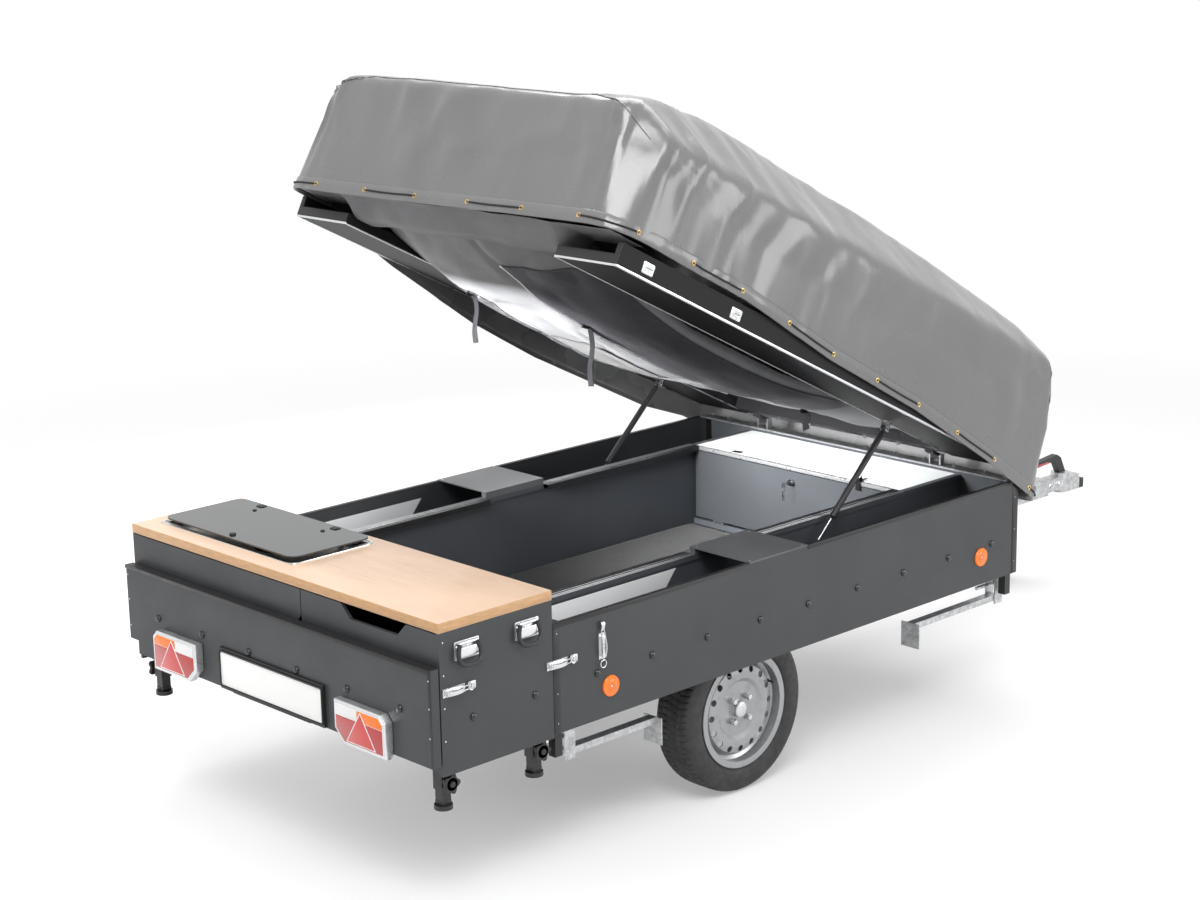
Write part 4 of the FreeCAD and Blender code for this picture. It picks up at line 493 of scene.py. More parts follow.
    for name, tone, wear in (("canvas", c.canvas, 1.3), ("dark_cloth", c.dark_cloth, 1.7)):
        f = Finish(name, tone, 0.6, sheen_weight=0.06, sheen_roughness=0.4)
        f.relief(f.pattern("noise", 0.05, detail=6.0, distortion=1.0), 0.004, 0.5)
        f.relief(f.pattern("wave", 0.0011, distortion=0.4), 0.00025, 0.5)
        f.relief(f.pattern("wave", 0.0011, turn=(0, 0, math.radians(90)), distortion=0.4), 0.00025, 0.5)
        FINISHES[name] = f.tint(f.pattern("noise", 0.09, detail=6.0), shade(tone, wear), 0.4, 0.8).material

    f = Finish("webbing", (0.008, 0.008, 0.009), 0.75)
    FINISHES["webbing"] = f.relief(f.pattern("wave", 0.0018, turn=(0, math.radians(45), 0)), 0.0004, 0.7).material


NODE_FINISH = {
    "zinc": ("chassis_frame", "drawbar", "coupling_head", "hinge_bar", "steady_rear_right", "steady_rear_left",
             "steady_front_right", "steady_front_left", "jockey_tube", "jockey_inner_tube", "jockey_fork"),
    "profile": ("corner_posts", "leg_sleeves", "kitchen_leg_rear_right", "kitchen_leg_rear_left",
                "kitchen_leg_front_right", "kitchen_leg_front_left", "lid_front_bar", "strut_tube_right", "strut_tube_left", "axle", "plate_holder"),
    "panel": ("side_panel_right", "side_panel_left", "end_walls", "kitchen_carcass", "kitchen_fronts",
              "tailgate", "locker_flap"),
    "inside": ("inner_walls", "body_floor", "locker_plinth", "wheel_arches"),
    "board": ("lid_board_right", "lid_board_left"),
    "grey": ("bridge_plates",),
    # the locker top's white is its own pale tone with painted light added
    "white": ("locker_top",),
    "beech": ("worktop",),
    "steel": ("hob_tray",),
    "glass": ("hob_glass_lid",),
    "bright": ("body_fittings", "lid_fittings", "locker_lock"),
    "chrome": ("strut_rod_right", "strut_rod_left"),
    "plastic": ("coupling_grip_and_nose",),
    "plate": ("number_plate",),
    "rim": ("rim_right", "rim_left"),
}


# ---------------------------------------------------------------- stage

class TRAILER_OT_stage(bpy.types.Operator):
    """Camera, lamps, world and floor"""
    bl_idname = "trailer.stage"
    bl_label = "Stage"

    def execute(self, context):
        camera = bpy.data.objects.new("Camera", bpy.data.cameras.new("Camera"))
        camera.data.sensor_width, camera.data.lens = 36, 72.436
        camera.data.clip_end = 100
        turn, rise, roll = math.radians(46.321), math.radians(14.025), math.radians(-1.039)
        back = Vector((math.sin(turn) * math.cos(rise), -math.cos(turn) * math.cos(rise), math.sin(rise)))
        right = Vector((math.cos(turn), math.sin(turn), 0))
        up = back.cross(right)
        across = right * math.cos(roll) + up * math.sin(roll)
        over = up * math.cos(roll) - right * math.sin(roll)
        camera.matrix_world = Matrix.Translation((5.8426, -6.2583, 3.0389)) @ Matrix(
            (across, over, back)).transposed().to_4x4()
        context.scene.collection.objects.link(camera)
        context.scene.camera = camera

        middle, locker = Vector((0, -0.4, 0.6)), Vector((0, 0.45, 0.78))
        for name, place, width, power in (("Key", (3.2, -3.6, 5.2), 3.0, 260), ("Top", (-1.0, 1.0, 6.0), 5.0, 330),
                                          ("Tub", (-0.2, -1.25, 1.36), 0.6, 26),
                                          ("Left", (-5.0, -4.2, 2.2), 3.0, 210),
                                          ("Fill", (-4.6, 0.6, 1.7), 2.4, 90),
                                          ("Front", (5.5, 3.0, 2.4), 3.0, 120)):
            lamp = bpy.data.objects.new(name, bpy.data.lights.new(name, "AREA"))
            lamp.data.size, lamp.data.energy = width, power
            lamp.location = place
            lamp.visible_glossy = name not in ("Fill", "Left", "Tub")
            lamp.visible_camera = False
            lamp.data.spread = math.radians(56 if name == "Tub" else 180)
            aim = locker if name == "Tub" else middle
            lamp.rotation_euler = (aim - lamp.location).to_track_quat("-Z", "Y").to_euler()
            context.scene.collection.objects.link(lamp)

        world = bpy.data.worlds.new("Studio")
        context.scene.world = world
        world.use_nodes = True
        tree = world.node_tree
        plain = tree.nodes["Background"]
        plain.inputs["Color"].default_value, plain.inputs["Strength"].default_value = (1, 1, 1, 1), 0.42
        white = tree.nodes.new("ShaderNodeBackground")
        white.inputs["Color"].default_value, white.inputs["Strength"].default_value = (1, 1, 1, 1), 1
        mix = tree.nodes.new("ShaderNodeMixShader")
        tree.links.new(self.seen(tree), mix.inputs[0])
        tree.links.new(plain.outputs[0], mix.inputs[1])
        tree.links.new(white.outputs[0], mix.inputs[2])
        tree.links.new(mix.outputs[0], tree.nodes["World Output"].inputs["Surface"])

        ground = bpy.data.materials.new("studio_floor")
        ground.use_nodes = True
        tree = ground.node_tree
        matt = tree.nodes["Principled BSDF"]
        matt.inputs["Base Color"].default_value = (*context.scene.trailer_colours.floor, 1)
        matt.inputs["Roughness"].default_value = 0.9
        glow = tree.nodes.new("ShaderNodeEmission")
        mix = tree.nodes.new("ShaderNodeMixShader")
        place = tree.nodes.new("ShaderNodeTexCoord")
        far = tree.nodes.new("ShaderNodeVectorMath")
        far.operation = "LENGTH"
        fade = tree.nodes.new("ShaderNodeMapRange")
        for name, value in (("From Min", 2.2), ("From Max", 6.5), ("To Min", 0.3), ("To Max", 1.0)):
            fade.inputs[name].default_value = value
        tree.links.new(place.outputs["Object"], far.inputs[0])
        tree.links.new(far.outputs["Value"], fade.inputs["Value"])
        dim = tree.nodes.new("ShaderNodeMath")
        dim.operation = "MULTIPLY"
        tree.links.new(fade.outputs[0], dim.inputs[1])
        tree.links.new(self.seen(tree), dim.inputs[0])
        tree.links.new(dim.outputs[0], mix.inputs[0])
        tree.links.new(matt.outputs[0], mix.inputs[1])
        tree.links.new(glow.outputs[0], mix.inputs[2])
        tree.links.new(mix.outputs[0], tree.nodes["Material Output"].inputs["Surface"])
        mesh = bpy.data.meshes.new("Floor")
        mesh.from_pydata([(-60, -60, 0), (60, -60, 0), (60, 60, 0), (-60, 60, 0)], [], [(0, 1, 2, 3)])
        mesh.materials.append(ground)
        floor = bpy.data.objects.new("Floor", mesh)
        context.scene.collection.objects.link(floor)
        context.scene.view_settings.view_transform = "Standard"
        return {"FINISHED"}

    @staticmethod
    def seen(tree):
        """One where a ray comes from the camera, or through gloss or glass."""
        path = tree.nodes.new("ShaderNodeLightPath")
        total = path.outputs["Is Camera Ray"]
        for name in ("Is Glossy Ray", "Is Transmission Ray"):
            most = tree.nodes.new("ShaderNodeMath")
            most.operation = "MAXIMUM"
            tree.links.new(total, most.inputs[0])
            tree.links.new(path.outputs[name], most.inputs[1])
            total = most.outputs[0]
        return total


class TRAILER_OT_finishes(bpy.types.Operator):
    """Every finish, and the finish of each solid that shows as it is"""
    bl_idname = "trailer.finishes"
    bl_label = "Finishes"

    def execute(self, context):
        make_finishes()
        for finish, nodes in NODE_FINISH.items():
            for node in nodes:
                for slot in frame["nodes"][node].material_slots:
                    slot.material = FINISHES[finish]
        return {"FINISHED"}


# ---------------------------------------------------------------- body

class TRAILER_OT_body_fittings(bpy.types.Operator):
    """Bolt caps, rivets, edge trims, reflectors and the plates' heads"""
    bl_idname = "trailer.body_fittings"
    bl_label = "Body fittings"

    def execute(self, context):
        s = context.scene.trailer_sizes
        dome = s.bolt * np.array([(-0.1, 1), (0.2, 1), (0.45, 0.86), (0.62, 0.5), (0.68, 0.05)])
        head = s.rivet * np.array([(-0.2, 1), (0.25, 0.92), (0.5, 0.6), (0.6, 0.08)])
        places = [(SIDE, REAR + y, 0.595 - 0.006 * y) for y in (0.183, 0.421, 0.669, 0.919, 1.155, 1.406, 1.651,
                                                                1.901, 2.149)]
        places += [(SIDE, REAR - 0.318, 0.588), (SIDE, REAR - 0.073, 0.591)]
        bolts = [lathe(dome, p, "x", 20) for p in places]
        piece("body_bolt_caps", mirrored(bolts), FINISHES["cap"], "chassis")

        rows = [(SIDE, REAR + 0.016, TOP - 0.03 - 0.095 * k) for k in range(4)]
        rows += [(SIDE, FRONT - 0.018, TOP - 0.06 - 0.12 * k) for k in range(3)]
        rows += [(SIDE, KITCHEN + 0.014, WORKTOP - 0.06 - 0.1 * k) for k in range(4)]
        rivets = [lathe(head, p, "x", 12) for p in rows]
        low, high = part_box("bridge_plates")
        edge = low.y + 0.014, high.y - 0.014
        rivets += [lathe(head, (x, y, high.z), "z", 12) for y in edge for x in (0.53, SIDE - 0.014)]
        piece("body_rivets", mirrored(rivets), FINISHES["bright"], "chassis")

        strips = []
        for start, end in ((REAR, low.y - 0.001), (high.y + 0.001, FRONT - 0.052)):
            strips.append(block((SIDE - 0.016, start, TOP), (SIDE + s.trim, end, TOP + 0.0025), 0.0008))
            strips.append(block((SIDE, start, TOP - 0.012), (SIDE + s.trim, end, TOP), 0.0005))
        strips.append(block((SIDE, REAR + 0.0005, 0.445), (SIDE + s.trim, REAR + 0.028, TOP - 0.013), 0.0005))
        strips.append(block((SIDE, FRONT - 0.03, 0.445), (SIDE + s.trim, FRONT - 0.0005, TOP - 0.013), 0.0005))
        piece("body_edge_trims", mirrored(strips), FINISHES["profile"], "chassis")

        lens = [(0, 0.034), (0.004, 0.034), (0.0062, 0.0325), (0.007, 0.029), (0.0064, 0.0272), (0.0066, 0.020),
                (0.007, 0.0195), (0.0072, 0.007), (0.0052, 0.0065), (0.0052, 0.0005)]
        discs = [lathe(lens, (SIDE, REAR + y, z), "x", 48) for y, z in ((0.237, 0.540), (2.086, 0.546))]
        piece("side_reflector_lenses", mirrored(discs), FINISHES["amber"], "chassis",
              replaces=("side_reflectors",))
        screws = [lathe([(0.005, 0.0045), (0.0066, 0.004), (0.0072, 0.0005)], (SIDE, REAR + y, z), "x", 16)
                  for y, z in ((0.237, 0.540), (2.086, 0.546))]
        piece("side_reflector_screws", mirrored(screws), FINISHES["bright"], "chassis")
        return {"FINISHED"}


class TRAILER_OT_tub(bpy.types.Operator):
    """Wall caps, carpet, locker trims and lock inside the tub"""
    bl_idname = "trailer.tub"
    bl_label = "Tub"

    def execute(self, context):
        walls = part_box("inner_walls")
        cap = 0.508, 0.532
        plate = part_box("bridge_plates")
        ribs = np.array([(0, 0), (0.006, 0), (0.006, 0.001), (0.009, 0.001), (0.009, 0), (0.015, 0),
                         (0.015, 0.001), (0.018, 0.001), (0.018, 0), (0.024, 0), (0.024, -0.017), (0.0252, -0.017),
                         (0.0252, 0.0022), (-0.0012, 0.0022), (-0.0012, -0.017), (0, -0.017)])
        strips, bright = [], []
        for start, end in ((walls[0].y, plate[0].y - 0.001), (plate[1].y + 0.001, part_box("locker_top")[0].y)):
            outline = ribs * (-1, 1)
            strips.append(sweep([(cap[0], start, walls[1].z), (cap[0], end, walls[1].z)], outline))
            bright += [block((x, start, walls[1].z - 0.001), (x + 0.0014, end, walls[1].z + 0.0030), 0.0004)
                       for x in (cap[0] - 0.0012, cap[0] + 0.0115, cap[1] - 0.0006)]
        piece("inner_wall_caps", mirrored(strips), FINISHES["profile"], "chassis", sharp=20)
        piece("inner_wall_lines", mirrored(bright), FINISHES["silver"], "chassis")

        low = np.array((-0.5135, walls[0].y + 0.001))
        high = np.array((0.5135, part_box("locker_plinth")[0].y - 0.012))
        u, v = np.meshgrid(np.linspace(0, 1, 70), np.linspace(0, 1, 110))
        x, y = low[0] + u * (high[0] - low[0]), low[1] + v * (high[1] - low[1])
        flat = np.stack([x, y, np.full_like(x, FLOOR + 0.0035)], -1)
        flat[..., 2] += 0.0008 * noise(flat, 0.06, 3)
        carpet = piece("tub_carpet", [skin(flat, wrap=False)], FINISHES["carpet"], "chassis")
        thicken(carpet, 0.002)

        # Pale liner sheets on both channel walls, partly painted light: their slanted front end follows the edge of the
        # lid's shadow, so the bright sheet stops where the painted shade begins.
        start, low, high = REAR + 0.046, 0.457, 0.745
        outline = np.array([(start, low), (REAR + 0.54, low), (REAR + 0.78, high), (start, high)])
        sheets = [slab(outline, walls[1].x + 0.0002, 0.001, "x", 0.0003),
                  slab(outline, 0.7648, -0.001, "x", 0.0003),
                  block((walls[1].x + 0.0015, start, low - 0.0015), (0.7635, REAR + 0.54, low - 0.0005), 0.0003)]
        piece("channel_pale_sheets_painted_light", mirrored(sheets), FINISHES["liner"], "chassis",
              replaces=("channel_liners",))

        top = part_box("locker_top")
        edge = [block((top[0].x, top[0].y - 0.0012, top[0].z - 0.0008), (top[1].x, top[0].y + 0.012, top[1].z + 0.001),
                      0.0006)]
        piece("locker_edge", edge, FINISHES["silver"], "chassis")
        loop = [(x, top[0].y + 0.03 + 0.004 * k, top[1].z + 0.002) for k, x in enumerate((-0.33, -0.31, -0.29))]
        strap = [sweep(smooth_path(loop, 12), rect(0, 0, 0.022, 0.0016), (0, 0, 1)),
                 sweep(smooth_path([(0.30, top[0].y + 0.05, top[1].z + 0.002), (0.32, top[0].y + 0.02, top[1].z + 0.002),
                                    (0.325, top[0].y - 0.004, top[1].z + 0.001),
                                    (0.326, top[0].y - 0.006, top[1].z - 0.03)], 16), rect(0, 0, 0.022, 0.0016),
                       (0, 1, 0.3))]
        piece("locker_strap_ends", strap, FINISHES["webbing"], "chassis")

        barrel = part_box("locker_lock")
        middle = (barrel[0] + barrel[1]) / 2
        face = barrel[0].y
        parts = [lathe([(0, 0.0125), (0.002, 0.0125), (0.003, 0.0115), (0.003, 0.0005)],
                       (middle.x, face, middle.z), "y", 28, -1),
                 block((middle.x - 0.0012, face - 0.03, middle.z - 0.006), (middle.x + 0.0012, face - 0.003,
                                                                            middle.z + 0.006), 0.0004),
                 slab(disc(middle.z, face - 0.036, 0.011, 20) @ np.array([[0, 1], [1, 0]]), middle.x - 0.001, 0.002,
                      "x", 0.0004)]
        ring = disc(0, 0, 0.011, 24)
        parts.append(sweep(np.stack([np.full(24, middle.x), face - 0.036 + ring[:, 0] * 0.8,
                                     middle.z - 0.016 + ring[:, 1]], -1), disc(0, 0, 0.0008, 8), (1, 0, 0), True))
        parts.append(block((middle.x - 0.001, face - 0.042, middle.z - 0.062), (middle.x + 0.001, face - 0.03,
                                                                                middle.z - 0.024), 0.0004))
        piece("lock_and_keys", parts, FINISHES["bright"], "locker_door")
        return {"FINISHED"}


class TRAILER_OT_latches(bpy.types.Operator):
    """Toggle latches and spring carry handles on both sides"""
    bl_idname = "trailer.latches"
    bl_label = "Latches and handles"

    def execute(self, context):
        face = SIDE
        wires, plates = [], []
        for y, z, along in ((REAR - 0.028, 0.667, 1), (KITCHEN + 0.006, 0.688, 1)):
            start, end = y + 0.004, y + 0.082
            for bar in (-0.0075, 0.0075):
                path = smooth_path([(face + 0.012, start, z + bar), (face + 0.017, (start + end) / 2, z + bar),
                                    (face + 0.008, end + 0.012, z + bar * 0.8)], 14)
                wires.append(sweep(path, disc(0, 0, 0.0018, 8)))
            ring = disc(0, 0, 0.011, 20)
            wires.append(sweep(np.stack([np.full(20, face + 0.010), end + 0.022 + ring[:, 0], z + ring[:, 1]], -1),
                               disc(0, 0, 0.0018, 8), (1, 0, 0), True))
            plates.append(slab(rect(end + 0.030, z, 0.030, 0.024, 0.004), face, 0.003, "x", 0.0006))
            plates += [lathe([(0, 0.003), (0.0048, 0.0026), (0.0052, 0.0003)], (face, end + 0.030, z + d), "x", 12)
                       for d in (-0.007, 0.007)]
            plates.append(sweep(smooth_path([(face + 0.014, start + 0.012, z), (face + 0.023, start + 0.03, z),
                                             (face + 0.019, start + 0.06, z), (face + 0.015, start + 0.066, z)], 14),
                                rect(0, 0, 0.012, 0.003), (1, 0, 0)))
        y, z = REAR + 0.2, 0.678
        for bar in (-0.0075, 0.0075):
            wires.append(sweep(smooth_path([(face + 0.013, y + bar, z - 0.035), (face + 0.018, y + bar, z),
                                            (face + 0.009, y + bar * 0.8, z + 0.05)], 14), disc(0, 0, 0.0018, 8),
                               (0, 1, 0)))
        hook = smooth_path([(face + 0.008, y, z + 0.05), (face + 0.012, y, z + 0.07), (face + 0.006, y, z + 0.078),
                            (face + 0.004, y, z + 0.07)], 14)
        wires.append(sweep(hook, rect(0, 0, 0.002, 0.014), (0, 1, 0)))
        ring = disc(0, 0, 0.012, 20)
        wires.append(sweep(np.stack([np.full(20, face + 0.010), y + ring[:, 0], z - 0.056 + ring[:, 1]], -1),
                           disc(0, 0, 0.0018, 8), (1, 0, 0), True))
        piece("latch_wires", mirrored(wires), FINISHES["bright"], "chassis")
        piece("latch_keepers", mirrored(plates), FINISHES["bright"], "chassis")

        silver, loops = [], []
        for y, z in ((REAR - 0.337, 0.803), (REAR - 0.103, 0.806)):
            silver.append(slab(rect(y, z, 0.094, 0.056, 0.004), face, 0.003, "x", 0.0007))
            silver.append(slab(rect(y, z - 0.006, 0.062, 0.030, 0.003), face + 0.003, 0.010, "x", 0.002))
            silver.append(sweep([(face + 0.009, y - 0.036, z + 0.022), (face + 0.009, y + 0.036, z + 0.022)],
                                disc(0, 0, 0.005, 14)))
            silver += [lathe([(0, 0.0035), (0.0042, 0.003), (0.0048, 0.0003)], (face + 0.003, y + d, z + e), "x", 12)
                       for d in (-0.039, 0.039) for e in (-0.018, 0.012)]
            path = smooth_path([(face + 0.012, y - 0.034, z + 0.020), (face + 0.014, y - 0.042, z - 0.008),
                                (face + 0.020, y - 0.038, z - 0.032), (face + 0.023, y - 0.022, z - 0.042),
                                (face + 0.024, y, z - 0.044), (face + 0.023, y + 0.022, z - 0.042),
                                (face + 0.020, y + 0.038, z - 0.032), (face + 0.014, y + 0.042, z - 0.008),
                                (face + 0.012, y + 0.034, z + 0.020)], 44)
            loops.append(sweep(path, disc(0, 0, 0.0068, 12), (1, 0, 0.2)))
        piece("carry_handle_plates", mirrored(silver), FINISHES["silver"], "chassis",
              replaces=("carry_handles",))
        piece("carry_handle_loops", mirrored(loops), FINISHES["plastic"], "chassis")
        return {"FINISHED"}


# ---------------------------------------------------------------- kitchen

class TRAILER_OT_kitchen(bpy.types.Operator):
    """Worktop edge band, hob surround, hob lid fittings, legs' knobs and screws"""
    bl_idname = "trailer.kitchen"
    bl_label = "Kitchen"

    def execute(self, context):
        low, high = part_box("worktop")
        band = 0.0009
        parts = [block((low.x - band, low.y - band, low.z + 0.0008), (high.x + band, low.y, high.z - 0.0004), 0.0003),
                 block((low.x - band, low.y, low.z + 0.0008), (low.x, high.y, high.z - 0.0004), 0.0003),
                 block((high.x, low.y, low.z + 0.0008), (high.x + band, high.y, high.z - 0.0004), 0.0003)]
        piece("worktop_edge_band", parts, FINISHES["beech_edge"], "chassis")

        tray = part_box("hob_tray")
        edge = rect(-0.36, (tray[0].y + tray[1].y) / 2, 0.72, 0.33, 0.030, 8)
        ring = axes(edge, WORKTOP + 0.0015, "z")
        piece("hob_surround", [sweep(ring, rect(0, 0, 0.007, 0.0045, 0.001, 2), closed=True)], FINISHES["chrome"],
              "chassis")

        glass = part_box("hob_glass_lid")
        face = glass[1].z
        knob = [lathe([(0, 0.011), (0.004, 0.011), (0.006, 0.009), (0.0065, 0.0005)], (-0.36, REAR - 0.335, face),
                      "z", 28)]
        knob += [lathe([(0, 0.007), (0.003, 0.007), (0.004, 0.005), (0.0042, 0.0005)], (x, REAR - 0.112, face), "z",
                       20) for x in (-0.548, -0.18)]
        piece("hob_lid_studs", knob, FINISHES["plastic"], "hob_lid")
        plates = [slab(rect(x, REAR - 0.066, 0.030, 0.026, 0.005), face, 0.0028, "z", 0.0008) for x in (-0.573, -0.173)]
        plates += [lathe([(0, 0.004), (0.0042, 0.0036), (0.0048, 0.0003)], (x + d, REAR - 0.066, face), "z", 14)
                   for x in (-0.573, -0.173) for d in (-0.008, 0.008)]
        piece("hob_lid_plates", plates, FINISHES["plastic"], "hob_lid")

        knobs, feet = [], {}
        for name, side in (("rear_right", 1), ("rear_left", -1), ("front_right", 1), ("front_left", -1)):
            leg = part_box(f"kitchen_leg_{name}")
            y = (leg[0].y + leg[1].y) / 2
            star = disc(y, 0.396, 0.029, 60, 5, 0.16)
            centre = side * (0.722 + 0.031)
            knobs.append(slab(star, centre, side * 0.013, "x", 0.003, 3))
            knobs.append(lathe([(0, 0.010), (0.004, 0.009), (0.005, 0.0005)], (centre + side * 0.013, y, 0.396), "x",
                               20, side))
            x = side * 0.722
            foot = [lathe([(0.0, 0.026), (0.002, 0.0285), (0.006, 0.0285), (0.010, 0.022), (0.0155, 0.012),
                           (0.022, 0.0115), (0.022, 0.0005)], (x, y, leg[0].z), "z", 32),
                    block((x - 0.0175, y - 0.0175, leg[0].z + 0.018), (x + 0.0175, y + 0.0175, leg[0].z + 0.028),
                          0.0015)]
            piece(f"kitchen_foot_{name}", foot, FINISHES["plastic"], f"kitchen_leg_{name}_slide")
        piece("leg_knobs", knobs, FINISHES["plastic"], "chassis")
        return {"FINISHED"}


# ---------------------------------------------------------------- tailgate

class TRAILER_OT_tailgate(bpy.types.Operator):
    """Lamps, plate surround, top profile and bolt caps of the tailgate"""
    bl_idname = "trailer.tailgate"
    bl_label = "Tailgate"

    def execute(self, context):
        s = context.scene.trailer_sizes
        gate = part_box("tailgate")
        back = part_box("tail_lamps")[0].y
        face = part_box("plate_holder")[1].y
        dome = s.bolt * np.array([(-0.1, 1), (0.2, 1), (0.45, 0.86), (0.62, 0.5), (0.68, 0.05)])
        caps = [lathe(dome, (x, face, 0.618), "y", 20, -1) for x in (-0.606, -0.359, -0.109, 0.138, 0.386, 0.634)]
        piece("gate_bolt_caps", caps, FINISHES["cap"], "tailgate_panel")
        top = gate[1].z
        ribs = [block((gate[0].x, gate[0].y - 0.002, top - 0.011), (gate[1].x, gate[0].y + 0.003, top + 0.0015), 0.0012)]
        ribs += [block((gate[0].x, gate[0].y + 0.005 + 0.007 * k, top - 0.001), (gate[1].x, gate[0].y + 0.009 + 0.007 * k,
                                                                               top + 0.0012), 0.0005)
                 for k in range(4)]
        ribs += [block((x - 0.0005, face - 0.0015, 0.468), (x + 0.0175, face + 0.001, top - 0.012), 0.0005)
                 for x in (gate[1].x - 0.017,)]
        piece("gate_profiles", ribs, FINISHES["profile"], "tailgate_panel")
        head = s.rivet * np.array([(-0.2, 1), (0.25, 0.92), (0.5, 0.6), (0.6, 0.08)])
        rivets = [lathe(head, (x, face - 0.001, z), "y", 12, -1) for x in (-0.77, 0.771) for z in (0.56, 0.65, 0.735)]
        piece("gate_rivets", rivets, FINISHES["bright"], "tailgate_panel")

        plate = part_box("number_plate")
        mid = (plate[0] + plate[1]) / 2
        frame_ring = axes(rect(mid.x, mid.z, 0.528, 0.118, 0.008, 4), plate[0].y + 0.001, "y")
        holder = [sweep(frame_ring, rect(0, 0, 0.005, 0.009, 0.001, 2), (0, 1, 0), True)]
        holder.append(block((mid.x - 0.20, plate[0].y - 0.001, mid.z - 0.069), (mid.x + 0.20, plate[1].y, mid.z - 0.060),
                            0.001))
        piece("plate_surround", holder, FINISHES["plastic"], "tailgate_panel")
        blank = [slab(rect(mid.x, mid.z, 0.519, 0.109, 0.008, 4), plate[1].y, plate[0].y - plate[1].y - 0.0004, "y",
                      0.0006)]
        piece("blank_plate", blank, FINISHES["plate"], "tailgate_panel", replaces=("number_plate",))

        shells, reds, ambers, clears, reflexes, outlines = [], [], [], [], [], []
        for side in (1, -1):
            near, far, base, high, slant = 0.358, 0.600, 0.455, 0.590, 0.044
            outline = np.array([(near, base + slant), (near + slant, base), (far, base), (far, high - slant / 2),
                                (far - slant / 2, high), (near, high)]) * (side, 1)
            if side < 0:
                outline = outline[::-1]
            shells.append(slab(outline, face, back - face + 0.006, "y", 0.004, 3))
            rim = drawn_in(outline, 0.007)
            shells.append(slab(rim, back + 0.010, -0.006, "y", 0.002))
            inner = drawn_in(outline, 0.012)
            split = base + 0.088
            x0, x1 = near + 0.012, far - 0.012
            red = np.array([(x0, base + slant + 0.004), (x0 + slant - 0.006, base + 0.012), (x1, base + 0.012),
                            (x1, split), (x0, split)]) * (side, 1)
            reds.append(slab(red, back + 0.009, -0.0072, "y", 0.002))
            amber = np.array([(x0 + 0.102, split + 0.002), (x1, split + 0.002), (x1, high - 0.028),
                              (x1 - 0.016, high - 0.012), (x0 + 0.102, high - 0.012)]) * (side, 1)
            ambers.append(slab(amber, back + 0.009, -0.0072, "y", 0.002))
            clear = np.array([(x0, split + 0.002), (x0 + 0.100, split + 0.002), (x0 + 0.100, high - 0.012),
                              (x0, high - 0.012)]) * (side, 1)
            clears.append(slab(clear, back + 0.009, -0.0072, "y", 0.002))
            mid_x = (near + far) / 2 + 0.01
            triangle = np.array([(mid_x - 0.070, base + 0.016), (mid_x + 0.070, base + 0.016),
                                 (mid_x, base + 0.122)]) * (side, 1)
            reflexes.append(slab(drawn_in(triangle, 0.003), back + 0.0040, -0.0038, "y", 0.0008))
            outlines.append(slab(triangle, back + 0.0042, -0.0032, "y", 0.0008))
        for name, parts, finish in (("lamp_housings", shells, "silver"), ("lamp_red_lenses", reds, "red"),
                                    ("lamp_amber_lenses", ambers, "amber"), ("lamp_clear_lenses", clears, "clear"),
                                    ("lamp_reflectors", reflexes, "reflector"), ("lamp_outlines", outlines, "plate")):
            made = piece(name, parts, FINISHES[finish], "tailgate_panel", sharp=30)
            if finish == "silver":
                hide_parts("tail_lamps")
        return {"FINISHED"}


# ---------------------------------------------------------------- cover
# Everything of the lid is drawn in the closed lid's frame, whose origin is the hinge pin.

ROOF = np.array([(-2.290, 0.510), (-2.210, 0.550), (-1.920, 0.605), (-1.570, 0.625), (-1.020, 0.600),
                 (-0.520, 0.570), (-0.120, 0.525), (0.030, 0.455), (0.090, 0.345), (0.195, -0.050)])
HEM = {1: [(-2.30, 0.108), (-2.206, 0.108), (-1.929, 0.101), (-1.653, 0.098), (-1.175, 0.053), (-0.67, 0.035),
           (-0.203, -0.009), (0.172, -0.060), (0.25, -0.065)],
       -1: [(-2.30, 0.091), (-2.2, 0.088), (-1.749, -0.005), (-1.296, -0.072), (-0.946, -0.092), (-0.308, -0.089),
            (-0.075, -0.060), (0.172, -0.065), (0.25, -0.065)]}
COVER_HALF, COVER_REAR, COVER_FRONT = 0.7892, -2.290, 0.200
CORE_REAR, CORE_FRONT, CORE_HEIGHT = -1.50, -0.60, 0.20


def cover_planes():
    """The flat faces that the cover is stretched over, as outward directions and their distances."""
    low, high = ROOF[:-1], ROOF[1:]
    run = high - low
    roof = np.stack([np.zeros(len(run)), -run[:, 1], run[:, 0]], -1)
    roof /= np.linalg.norm(roof, axis=1, keepdims=True)
    reach = (roof[:, 1] * low[:, 0] + roof[:, 2] * low[:, 1])
    slope = np.array((0.210, 0, 0.259)) / math.hypot(0.210, 0.259)
    flat = [((0, -1, 0), -COVER_REAR), ((0, 1, 0), COVER_FRONT)]
    for x, rear, lean in ((1, 0.070, 0.19), (-1, 0.026, 0.05)):
        flat += [((x, 0, 0), COVER_HALF), (slope * (x, 1, 1), slope[0] * COVER_HALF + slope[2] * 0.430)]
        for y, end, corner, tilt in ((-1, -COVER_REAR, rear, lean), (1, COVER_FRONT, 0.048, 0.0)):
            size_of = math.hypot(math.sqrt(2), tilt)
            flat.append((np.array((x, y, tilt)) / size_of, (COVER_HALF + end - corner + tilt * 0.108) / size_of))
    return np.vstack([roof, [n for n, _ in flat]]), np.r_[reach, [d for _, d in flat]]


PLANES, REACHES = cover_planes()


